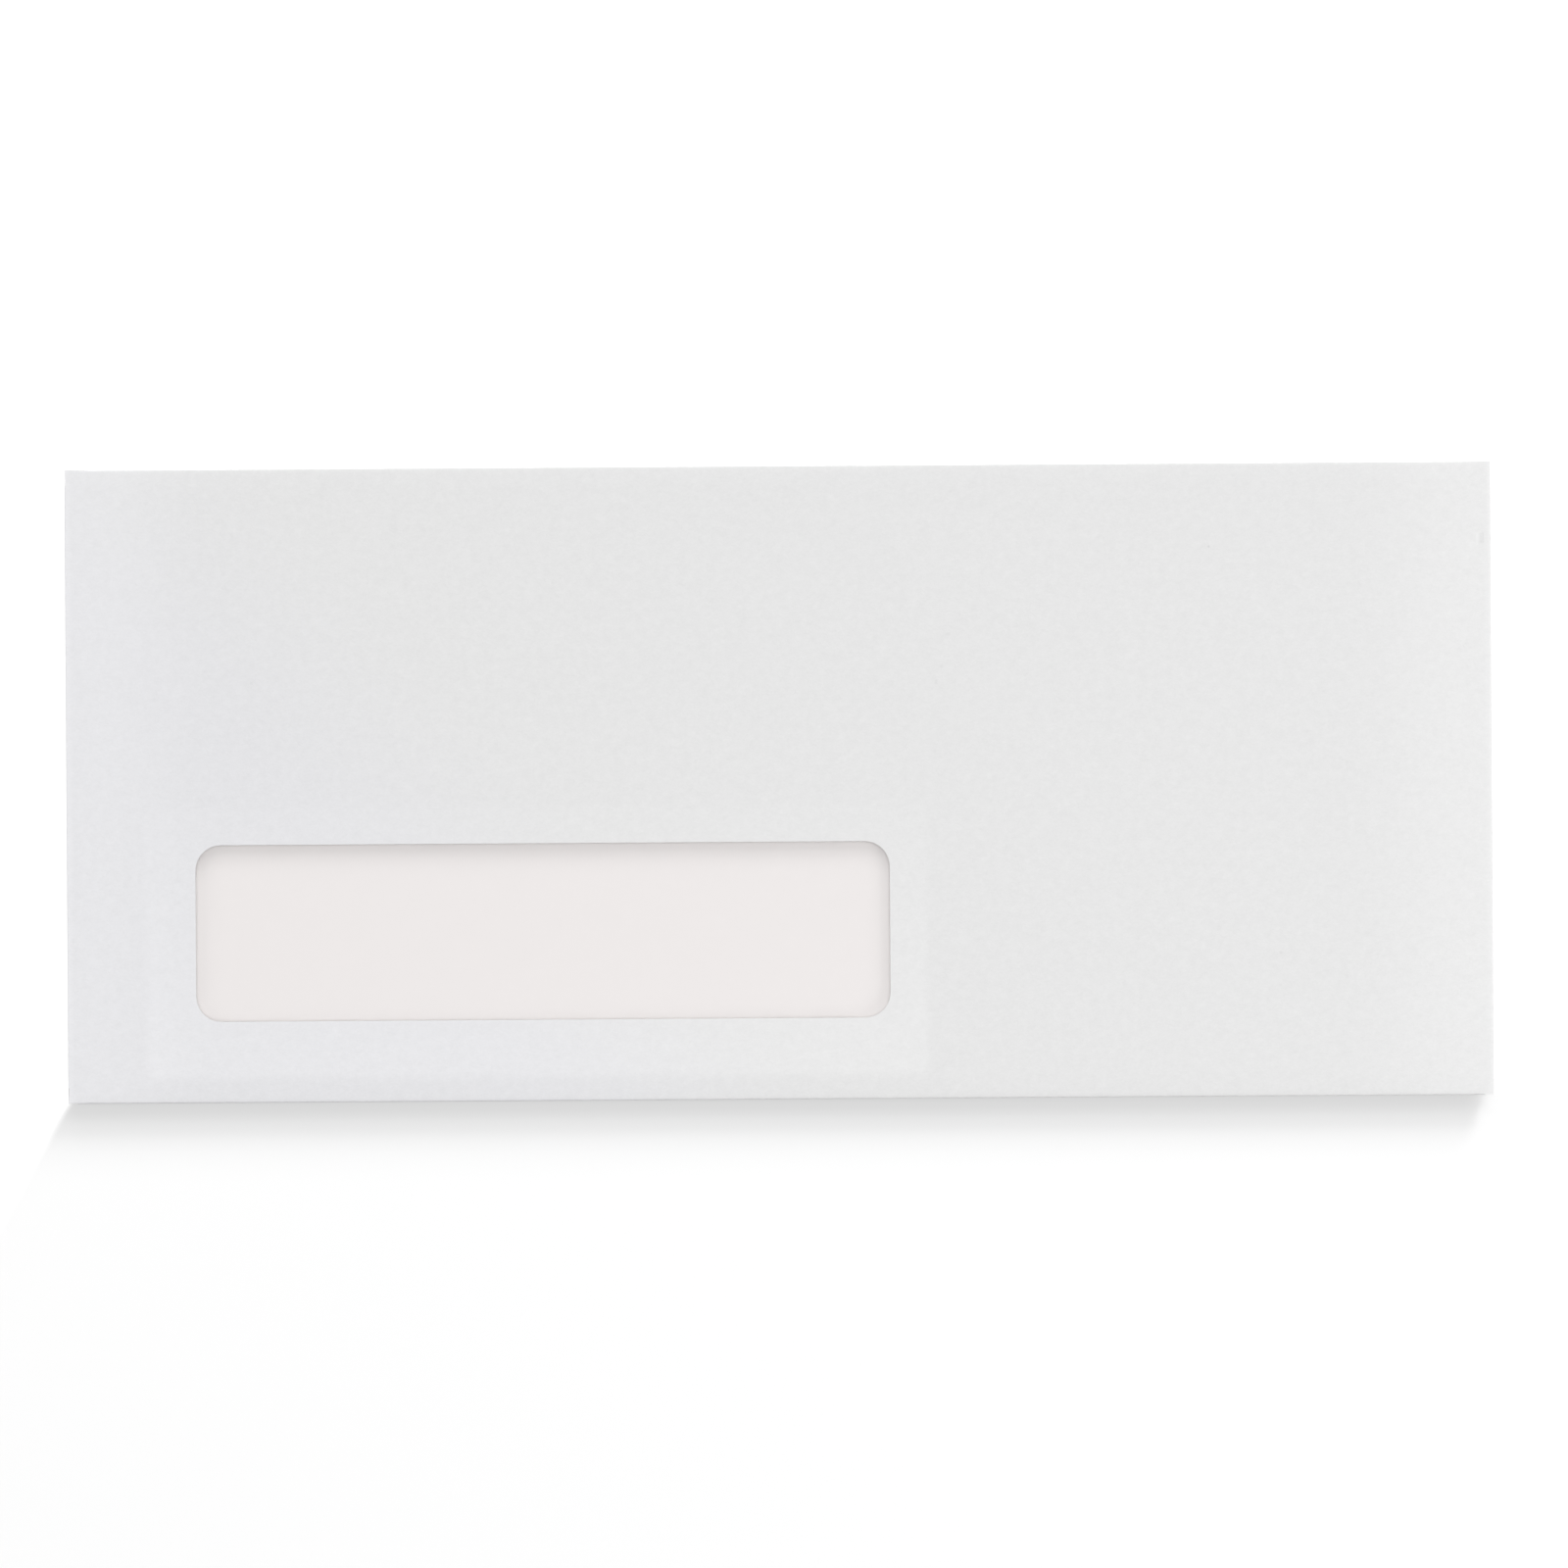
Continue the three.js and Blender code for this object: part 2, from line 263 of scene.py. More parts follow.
class MaterialNodes(Nodes):
    """The tree of a new material, with its shader and its Object coordinates."""

    def __init__(self, name: str) -> None:
        """Start the material.

        Args:
            name: Its name.
        """
        self.material = bpy.data.materials.new(name)
        self.material.use_nodes = True
        super().__init__(self.material.node_tree)
        self.shader = self.tree.nodes["Principled BSDF"]
        self.place = self.add("ShaderNodeTexCoord").outputs["Object"]

    def use(self, group: bpy.types.NodeTree, values: Inputs | None = None) -> Sockets:
        """Place a shader group at the Object coordinates.

        Args:
            group: The group.
            values: Its other inputs by name.

        Returns:
            The group's outputs.
        """
        node = self.add("ShaderNodeGroup", node_tree=group)
        self.feed(node, {"Vector": self.place, **(values or {})})
        return dict(node.outputs.items())

    def dress(self, inputs: Inputs, height: Socket, distance: float) -> bpy.types.Material:
        """Feed the shader.

        Args:
            inputs: Sources of its inputs.
            height: Height of its relief, in units of the distance.
            distance: Height of its relief where the height is 1.

        Returns:
            The material.
        """
        bump = self.add("ShaderNodeBump", {"Height": height, "Distance": distance})
        self.feed(self.shader, {**inputs, "Normal": bump.outputs[0]})
        return self.material


def build_formation() -> bpy.types.NodeTree:
    """Build the formation of paper: cloudy mottle, short fibres and a fine tooth.

    Returns:
        A group with Cloud and Fleck values round 0 and a Height between about 0 and 1.
    """
    inputs = {"Vector": "Vector", "Cloud Size": 1.6 * MM, "Fibre Size": 0.5 * MM}
    outputs = {"Cloud": "Float", "Fleck": "Float", "Height": "Float"}
    group = Group("paper_formation", "Shader", inputs, outputs)
    place = group.source["Vector"]
    cloud = group.noise(place, group.source["Cloud Size"], Detail=5.0, Roughness=0.72)
    # Fibres lie mostly along the machine direction of the paper, which is X
    along = group.vector("MULTIPLY", Vector=place, Other=(0.7, 1.0, 1.0))
    fibre = group.noise(along, group.source["Fibre Size"], Detail=4.0, Roughness=0.7, Distortion=0.8)
    centred = group.math("SUBTRACT", cloud, 0.5)
    return group.give(
        Cloud=centred,
        Fleck=group.math("SUBTRACT", fibre, 0.5),
        Height=group.math("MULTIPLY_ADD", centred, 0.5, fibre),
    )


def build_patch() -> bpy.types.NodeTree:
    """Build a soft rectangle on the face.

    Returns:
        A group with a Mask value, 1 inside the rectangle and 0 outside.
    """
    sizes = {"Half Length": 0.01, "Half Height": 0.01, "Softness": MM}
    inputs = {"Vector": "Vector", "Centre": (0.0, 0.0, 0.0), **sizes}
    group = Group("soft_rectangle", "Shader", inputs, {"Mask": "Float"})
    source = group.source
    place = group.axes(group.vector("SUBTRACT", Vector=source["Vector"], Other=source["Centre"]))
    reach = [group.math("MULTIPLY", source["Softness"], side) for side in (-0.5, 0.5)]
    masks = []
    for axis, size in (("X", "Half Length"), ("Y", "Half Height")):
        inside = group.math("SUBTRACT", source[size], group.math("ABSOLUTE", place[axis]))
        masks.append(group.ramp(inside, *reach))
    return group.give(Mask=group.math("MULTIPLY", *masks))


def build_streaks() -> bpy.types.NodeTree:
    """Build the drag marks that rollers leave along X in a dried coat or a drawn film.

    Returns:
        A group with a Streak value between about 0 and 1.
    """
    inputs = {"Vector": "Vector", "Width": 0.5 * MM, "Stretch": 0.04}
    group = Group("roller_streaks", "Shader", inputs, {"Streak": "Float"})
    stretch = group.combined(X=group.source["Stretch"], Y=1.0, Z=1.0)
    place = group.vector("MULTIPLY", Vector=group.source["Vector"], Other=stretch)
    return group.give(Streak=group.noise(place, group.source["Width"], Detail=2.0))


@dataclass(frozen=True)
class Effects:
    """The shader groups that several finishes share."""

    formation: bpy.types.NodeTree = field(default_factory=build_formation)
    patch: bpy.types.NodeTree = field(default_factory=build_patch)
    streaks: bpy.types.NodeTree = field(default_factory=build_streaks)


# Sizes and outlines


def arc(centre: tuple[float, float], radius: float, start: float, turn: float) -> Edge:
    """Points on an arc.

    Args:
        centre: Its centre.
        radius: Its radius.
        start: Angle at which it starts.
        turn: Angle that it spans.

    Returns:
        Its points, with both ends.
    """
    angles = [start + turn * step / CORNER_STEPS for step in range(CORNER_STEPS + 1)]
    return [(centre[0] + radius * math.cos(a), centre[1] + radius * math.sin(a)) for a in angles]


@dataclass(frozen=True)
class Fold:
    """A fold of the sheet.

    Attributes:
        flap_z: Height at which the middle of its flap comes to lie.
        root_z: Height of the middle of its flap at the fold.
        radius: Radius of the middle of the sheet.
        inset: Distance of its centre from the envelope's edge.
        start: Distance from the envelope's edge at which the face meets it.
    """

    flap_z: float
    root_z: float
    radius: float
    inset: float
    start: float


@dataclass(frozen=True)
class Rectangle:
    """An upright rectangle on the face."""

    left: float
    bottom: float
    right: float
    top: float

    @classmethod
    def of_node(cls, node: str) -> "Rectangle":
        """The outline of a CAD node seen from above."""
        low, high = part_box(node)
        return cls(low[0], low[1], high[0], high[1])

    @property
    def centre(self) -> tuple[float, float]:
        """Its middle."""
        return (self.left + self.right) / 2, (self.bottom + self.top) / 2

    @property
    def length(self) -> float:
        """Its size along X."""
        return self.right - self.left

    @property
    def height(self) -> float:
        """Its size along Y."""
        return self.top - self.bottom

    def outside(self, x: float, y: float) -> float:
        """How far a point lies outside it, or 0 inside."""
        across = max(self.left - x, x - self.right, 0.0)
        return math.hypot(across, max(self.bottom - y, y - self.top, 0.0))

    def rounded(self, radius: float, spacing: float) -> list[Vector]:
        """Its outline with round corners, counter-clockwise.

        Args:
            radius: Radius of the corners.
            spacing: Largest step along a straight side.

        Returns:
            The outline's points.
        """
        quarter = math.pi / 2
        centres = (
            ((self.right - radius, self.bottom + radius), -quarter),
            ((self.right - radius, self.top - radius), 0.0),
            ((self.left + radius, self.top - radius), quarter),
            ((self.left + radius, self.bottom + radius), math.pi),
        )
        corners = [[Vector(p) for p in arc(centre, radius, start, quarter)] for centre, start in centres]
        points = []
        for corner, following in zip(corners, corners[1:] + corners[:1]):
            points.extend(corner)
            steps = max(1, math.ceil((following[0] - corner[-1]).length / spacing))
            points.extend(corner[-1].lerp(following[0], step / steps) for step in range(1, steps))
        return points


@dataclass(frozen=True)
class EnvelopeSizes:
    """The sizes that the pieces share. The overall size and the layers' places come from the frame."""

    paper: float = 0.12 * MM
    glue: float = 0.03 * MM
    clearance: float = 0.01 * MM
    seal_flap_gap: float = 0.45 * MM
    roll_drop: float = 0.04 * MM
    crease_radius: float = 0.13 * MM
    roll_clear_of_film: float = 0.4 * MM
    window_length: float = 111.3 * MM
    window_height: float = 28.3 * MM
    window_from_left: float = 20.6 * MM
    window_from_bottom: float = 13.0 * MM
    window_corner: float = 4.1 * MM
    top: float = field(default_factory=lambda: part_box("envelope_blank")[1][2])
    body: Rectangle = field(default_factory=lambda: Rectangle.of_node("envelope_blank"))
    film: Rectangle = field(default_factory=lambda: Rectangle.of_node("window_film"))

    @property
    def window(self) -> Rectangle:
        """The window's straight sides."""
        left, bottom = self.body.left + self.window_from_left, self.body.bottom + self.window_from_bottom
        return Rectangle(left, bottom, left + self.window_length, bottom + self.window_height)

    @property
    def seal_flap_z(self) -> float:
        """Height of the middle of the seal flap."""
        return self.paper / 2

    @property
    def back_panel_z(self) -> float:
        """Height of the middle of the back panel."""
        return self.seal_flap_z + self.paper + self.seal_flap_gap

    @property
    def side_flap_z(self) -> float:
        """Height of the middle of the side flaps."""
        return self.back_panel_z + self.paper + self.glue + 2 * self.clearance

    @property
    def roll_width(self) -> float:
        """Width of the border over which the face rolls down."""
        return self.film.bottom - self.body.bottom - self.roll_clear_of_film

    @property
    def roll_steepest(self) -> float:
        """Slope of the face where it meets a fold, as a rise per length."""
        return 2 * self.roll_drop / self.roll_width

    @property
    def roll_slope(self) -> float:
        """Angle of the face where it meets a fold."""
        return math.atan(self.roll_steepest)

    @property
    def fold_edge_z(self) -> float:
        """Height of the middle of the sheet where the face meets its folds."""
        return self.top - self.paper / 2 - self.roll_drop

    def fold_to(self, flap_z: float) -> Fold:
        """The fold of a flap. A sharp crease leaves the flap's root above the rest of the flap.

        Args:
            flap_z: Height at which the middle of the flap comes to lie.

        Returns:
            The fold.
        """
        turned = 1 + math.cos(self.roll_slope)
        radius = min(self.crease_radius, (self.fold_edge_z - flap_z) / turned)
        inset = radius + self.paper / 2
        root_z = self.fold_edge_z - radius * turned
        return Fold(flap_z, root_z, radius, inset, inset - radius * math.sin(self.roll_slope))


@dataclass(frozen=True)
class FlapShape:
    """One slanted edge of a flap, from its shoulder round the corner of its tip.

    Attributes:
        depth: How far the flap reaches from its fold.
        shoulder: Where the edge starts along the fold.
        slant: Angle between the edge and the fold.
        corner: Radius of the tip's corner.
    """

    depth: float
    shoulder: float
    slant: float
    corner: float

    @property
    def edge(self) -> Edge:
        """The edge's points as (distance from the fold, place along the fold).

        Returns:
            The points.
        """
        tip = self.shoulder + self.depth / math.tan(self.slant)
        centre = (self.depth - self.corner, tip + self.corner * math.tan(self.slant / 2))
        return [(0.0, self.shoulder), *arc(centre, self.corner, -self.slant, self.slant)]


def mirrored(edge: Edge, span: float) -> Edge:
    """The same edge at the other end of a fold of the given length."""
    return [(distance, span - along) for distance, along in edge]


def along_at(edge: Edge, distance: float) -> float:
    """Where a flap's edge is along the fold.

    Args:
        edge: The edge's points.
        distance: Distance from the fold.

    Returns:
        The place along the fold.
    """
    for (from_distance, from_along), (to_distance, to_along) in zip(edge, edge[1:]):
        if distance <= to_distance:
            share = (distance - from_distance) / (to_distance - from_distance)
            return from_along + share * (to_along - from_along)
    return edge[-1][1]


def smooth_rise(distance: float, width: float) -> float:
    """A smooth rise from 0 to 1 over a width."""
    share = min(1.0, max(0.0, distance / width))
    return share * share * (3 - 2 * share)


# Finishes


@dataclass(frozen=True)
class Patch:
    """A soft rectangle on the face, such as a speck, or a dent's painted shade or painted highlight on one of
    its sides.

    Attributes:
        centre: Its middle, as x and y.
        half_length: Half its size along X.
        half_height: Half its size along Y.
        layers: How much brighter than the paper it is, in layers behind it, or below 0 where darker.
        softness: Width of its soft edge.
    """

    centre: tuple[float, float]
    half_length: float
    half_height: float
    layers: float
    softness: float

    def mask(self, nodes: MaterialNodes, effects: Effects) -> Socket:
        """Its mask in a material.

        Args:
            nodes: The material's tree.
            effects: The shared shader groups.

        Returns:
            An output that is 1 inside it and 0 outside.
        """
        sizes = {"Half Length": self.half_length, "Half Height": self.half_height, "Softness": self.softness}
        return nodes.use(effects.patch, {"Centre": (*self.centre, 0.0), **sizes})["Mask"]


def face_mark(x: float, y: float, length: float, height: float, layers: float) -> Patch:
    """A small mark on the face, with its place and size in millimetres."""
    return Patch((x * MM, y * MM), length / 2 * MM, height / 2 * MM, layers, MARK_SOFTNESS)


@dataclass(frozen=True)
class ShowThroughAndPaintedLight:
    """How the layers behind the face brighten the paper, and its painted light at both ends and on a dent.

    Attributes:
        layer: Extra brightness over one layer. The other strengths are counted in layers.
        film: Strength over the film, at the middle of the envelope's height.
        film_slope: Change of that strength per metre up.
        film_softness: Width of the film's soft edge.
        seams: Strength over the side seams, partly show-through and partly painted light.
        seam_depth: Distance from the ends at which it has fallen by half.
        seam_softness: Width over which it falls.
        crease_highlight: Strength of the painted highlight at the folds of both ends.
        crease_highlight_depth: Distance from the ends at which it has fallen by half.
        crease_highlight_softness: Width over which it falls.
        marks: Small marks on the face: darker specks, and a dent's painted shade and painted highlight.
    """

    layer: float = 0.02
    film: float = 0.42
    film_slope: float = -36.0
    film_softness: float = 2.2 * MM
    seams: float = 1.9
    seam_depth: float = 14.0 * MM
    seam_softness: float = 22.0 * MM
    crease_highlight: float = 2.2
    crease_highlight_depth: float = 0.6 * MM
    crease_highlight_softness: float = 1.4 * MM
    marks: tuple[Patch, ...] = (
        face_mark(69.05, 37.35, 0.3, 0.3, -7.0),
        face_mark(25.2, 15.9, 0.44, 0.704, -2.6),
        face_mark(27.2, 23.6, 0.704, 0.44, -2.2),
        face_mark(26.1, 18.5, 0.44, 0.572, -2.2),
        face_mark(27.7, 46.5, 0.44, 0.44, -2.4),
        face_mark(80.2, -27.8, 0.44, 0.44, -2.4),
        face_mark(-84.5, 16.4, 0.44, 0.44, -2.6),
        # A dent near the right end: painted shade on one side and painted highlight on the other
        face_mark(112.85, 38.45, 0.7, 1.6, -3.0),
        face_mark(112.1, 38.3, 0.4, 2.0, 1.5),
    )

    def build(self, nodes: MaterialNodes, effects: Effects, sizes: EnvelopeSizes) -> Socket:
        """Build it in the paper's material.

        Args:
            nodes: The material's tree.
            effects: The shared shader groups.
            sizes: The envelope's sizes.

        Returns:
            An output with the extra brightness, which is 0 on the back.
        """
        place = nodes.axes(nodes.place)
        film, body = sizes.film, sizes.body
        patch = Patch(film.centre, film.length / 2, film.height / 2, self.film, self.film_softness)
        strength = nodes.math("MULTIPLY_ADD", place["Y"], self.film_slope, patch.layers)
        total = nodes.math("MULTIPLY", patch.mask(nodes, effects), strength)
        for layers, depth, softness in (
            (self.seams, self.seam_depth, self.seam_softness),
            # Over the side seams: partly the seams showing through, partly painted light that brightens both
            # ends
            (self.crease_highlight, self.crease_highlight_depth, self.crease_highlight_softness),
        # At the folds of both ends: a painted highlight
        ):
            patch = Patch(body.centre, body.length / 2 - depth, body.height, layers, softness)
            ends = nodes.math("SUBTRACT", 1.0, patch.mask(nodes, effects))
            total = nodes.math("MULTIPLY_ADD", ends, layers, total)
        for mark in self.marks:
            total = nodes.math("MULTIPLY_ADD", mark.mask(nodes, effects), mark.layers, total)
        on_face = nodes.math("GREATER_THAN", place["Z"], sizes.top / 2)
        return nodes.math("MULTIPLY", total, nodes.math("MULTIPLY", on_face, self.layer))


@dataclass(frozen=True)
class PaperFinish:
    """White wove paper.

    Attributes:
        name: The material's name.
        colour: Its colour.
        cool: Its colour where it looks cooler, towards the lower left.
        cloud: How far its brightness varies with its formation.
        fleck: How far its brightness varies with its fibres.
        tooth: Height of its surface texture.
        roughness: Its mean roughness.
        roughness_varies: How far that varies with its formation.
        specular: Strength of its gloss.
        cool_from: Distance from the left end at which the cooler colour starts to fade.
        cool_until: Distance from the left end at which it has faded.
        cool_slant: How much nearer the left end that lies, for each length up.
        layers: How the layers behind it show, and its painted light at both ends and on a dent, if any.
    """

    name: str
    colour: Colour
    cool: Colour
    cloud: float = 0.09
    fleck: float = 0.12
    tooth: float = 0.01 * MM
    roughness: float = 0.86
    roughness_varies: float = 0.1
    specular: float = 0.25
    cool_from: float = 26.0 * MM
    cool_until: float = 81.0 * MM
    cool_slant: float = 0.9
    layers: ShowThroughAndPaintedLight | None = None

    def build(self, effects: Effects, sizes: EnvelopeSizes) -> bpy.types.Material:
        """Build the material.

        Args:
            effects: The shared shader groups.
            sizes: The envelope's sizes.

        Returns:
            The material.
        """
        nodes = MaterialNodes(self.name)
        paper = nodes.use(effects.formation)
        tone = nodes.math("MULTIPLY_ADD", paper["Cloud"], self.cloud, 1.0)
        tone = nodes.math("MULTIPLY_ADD", paper["Fleck"], self.fleck, tone)
        if self.layers:
            # Brighter over the layers behind, and painted light at both ends and on a dent
            tone = nodes.math("ADD", tone, self.layers.build(nodes, effects, sizes))
        place = nodes.axes(nodes.place)
        slanted = nodes.math("MULTIPLY_ADD", place["Y"], self.cool_slant, place["X"])
        left = sizes.body.left
        coolness = nodes.ramp(slanted, left + self.cool_from, left + self.cool_until, 1.0, 0.0)
        colour = nodes.mixed(coolness, self.colour, self.cool)
        inputs = {
            "Base Color": nodes.vector("SCALE", Vector=colour, Scale=tone),
            "Roughness": nodes.math("MULTIPLY_ADD", paper["Cloud"], self.roughness_varies, self.roughness),
            "Specular IOR Level": self.specular,
        }
        return nodes.dress(inputs, paper["Height"], self.tooth)


@dataclass(frozen=True)
class FilmFinish:
    """A thin clear film: it mirrors a share by Fresnel and lets the rest through unbent.

    Attributes:
        name: The material's name.
        index: Its index of refraction.
        mirrored: How much of its Fresnel reflection shows.
        haze: How much it mirrors besides.
        roughness: Its least roughness.
        streaked: How much rougher its streaks are.
        streak_width: Width of its streaks.
        streak_stretch: How much shorter than long they are.
    """

    name: str = "clear_window_film"
    index: float = 1.5
    mirrored: float = 0.5
    haze: float = 0.004
    roughness: float = 0.05
    streaked: float = 0.06
    streak_width: float = 3.0 * MM
    streak_stretch: float = 0.12

    def build(self, effects: Effects) -> bpy.types.Material:
        """Build the material.

        Args:
            effects: The shared shader groups.

        Returns:
            The material.
        """
        nodes = MaterialNodes(self.name)
        streaks = nodes.use(effects.streaks, {"Width": self.streak_width, "Stretch": self.streak_stretch})
        # The light runs straight through, so it leaves by the same angle as it came in by
        behind = nodes.add("ShaderNodeNewGeometry").outputs["Backfacing"]
        index = nodes.math("MULTIPLY_ADD", behind, 1 / self.index - self.index, self.index)
        mirror = nodes.add("ShaderNodeFresnel", {"IOR": index}).outputs[0]
        inputs = {
            "Base Color": (1.0, 1.0, 1.0, 1.0),
            "Metallic": 1.0,
            "Roughness": nodes.math("MULTIPLY_ADD", streaks["Streak"], self.streaked, self.roughness),
            "Alpha": nodes.math("MULTIPLY_ADD", mirror, self.mirrored, self.haze, clamp=True),
        }
        nodes.feed(nodes.shader, inputs)
        return nodes.material


@dataclass(frozen=True)
class CoatFinish:
    """A dried coat of glue or gum.

    Attributes:
        name: The material's name.
        colour: Its colour.
        roughness: Its mean roughness.
        streak_width: Width of the marks that the roller left.
        darkest: Brightness of those marks, as a share of the colour.
        relief: Height of those marks.
        cloud_size: Size of its patches of gloss.
        roughness_varies: How far its roughness varies with them.
    """

    name: str
    colour: Colour
    roughness: float
    streak_width: float
    darkest: float = 0.94
    relief: float = 0.006 * MM
    cloud_size: float = 4.0 * MM
    roughness_varies: float = 0.2

    def build(self, effects: Effects) -> bpy.types.Material:
        """Build the material.

        Args:
            effects: The shared shader groups.

        Returns:
            The material.
        """
        nodes = MaterialNodes(self.name)
        streak = nodes.use(effects.streaks, {"Width": self.streak_width})["Streak"]
        cloud = nodes.use(effects.formation, {"Cloud Size": self.cloud_size})["Cloud"]
        darker = tuple(self.darkest * part for part in self.colour)
        inputs = {
            "Base Color": nodes.mixed(streak, self.colour, darker),
            "Roughness": nodes.math("MULTIPLY_ADD", cloud, self.roughness_varies, self.roughness),
        }
        return nodes.dress(inputs, streak, self.relief)


# Pieces


def link_object(name: str, mesh: bpy.types.Mesh) -> bpy.types.Object:
    """Put a mesh into the scene as an object.

    Args:
        name: The object's name.
        mesh: The mesh.

    Returns:
        The object.
    """
    obj = bpy.data.objects.new(name, mesh)
    bpy.context.scene.collection.objects.link(obj)
    return obj


def finish_piece(obj: bpy.types.Object, node: str) -> None:
    """Make a new object a piece of the envelope.

    Args:
        obj: The object, with its place in its mesh.
        node: The CAD node that it stands for.
    """
    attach(obj, BODY)
    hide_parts(node)
    LOG.info("%s: %d faces, for %s", obj.name, len(obj.data.polygons), node)


class SheetMesh:
    """A thin sheet: points on its middle with their normals, and the faces between them."""

    def __init__(self, thickness: float) -> None:
        """Start an empty sheet.

        Args:
            thickness: Its thickness.
        """
        self.thickness = thickness
        self.middles: list[Vector] = []
        self.normals: list[Vector] = []
        self.faces: list[tuple[int, ...]] = []

    def add_point(self, middle: Vector, normal: Vector) -> int:
        """Add a point.

        Args:
            middle: Its place on the middle of the sheet.
            normal: The sheet's normal there, of any length.

        Returns:
            Its number.
        """
        self.middles.append(middle)
        self.normals.append(normal.normalized())
        return len(self.middles) - 1

    def add_strip(self, row: list[int], following: list[int]) -> None:
        """Join two rows of points by quads."""
        for i in range(len(row) - 1):
            self.faces.append((row[i], following[i], following[i + 1], row[i + 1]))

    def to_mesh(self, name: str) -> bpy.types.Mesh:
        """Close the sheet with its two skins and its cut edges.

        Args:
            name: The mesh's name.

        Returns:
            A mesh with a material number of Skin on each face, smooth apart from the cut edges.
        """
        count = len(self.middles)
        half = self.thickness / 2
        outer = [m + n * half for m, n in zip(self.middles, self.normals)]
        inner = [m - n * half for m, n in zip(self.middles, self.normals)]
        open_edges: dict[tuple[int, int], None] = {}
        for face in self.faces:
            for a, b in zip(face, face[1:] + face[:1]):
                if (b, a) in open_edges:
                    del open_edges[(b, a)]
                else:
                    open_edges[(a, b)] = None
        skins = [(face, Skin.OUTER) for face in self.faces]
        skins += [(tuple(i + count for i in reversed(face)), Skin.INNER) for face in self.faces]
        skins += [((a, a + count, b + count, b), Skin.CUT_EDGE) for a, b in open_edges]
        mesh = bpy.data.meshes.new(name)
        mesh.from_pydata(outer + inner, [], [face for face, _ in skins])
        mesh.polygons.foreach_set("material_index", [skin.value for _, skin in skins])
        mesh.polygons.foreach_set("use_smooth", [True] * len(skins))
        rims = {frozenset(pair) for pair in open_edges}
        rims |= {frozenset((a + count, b + count)) for a, b in open_edges}
        sharp = mesh.attributes.new("sharp_edge", "BOOLEAN", "EDGE")
        sharp.data.foreach_set("value", [frozenset(edge.vertices) in rims for edge in mesh.edges])
        mesh.update()
        return mesh


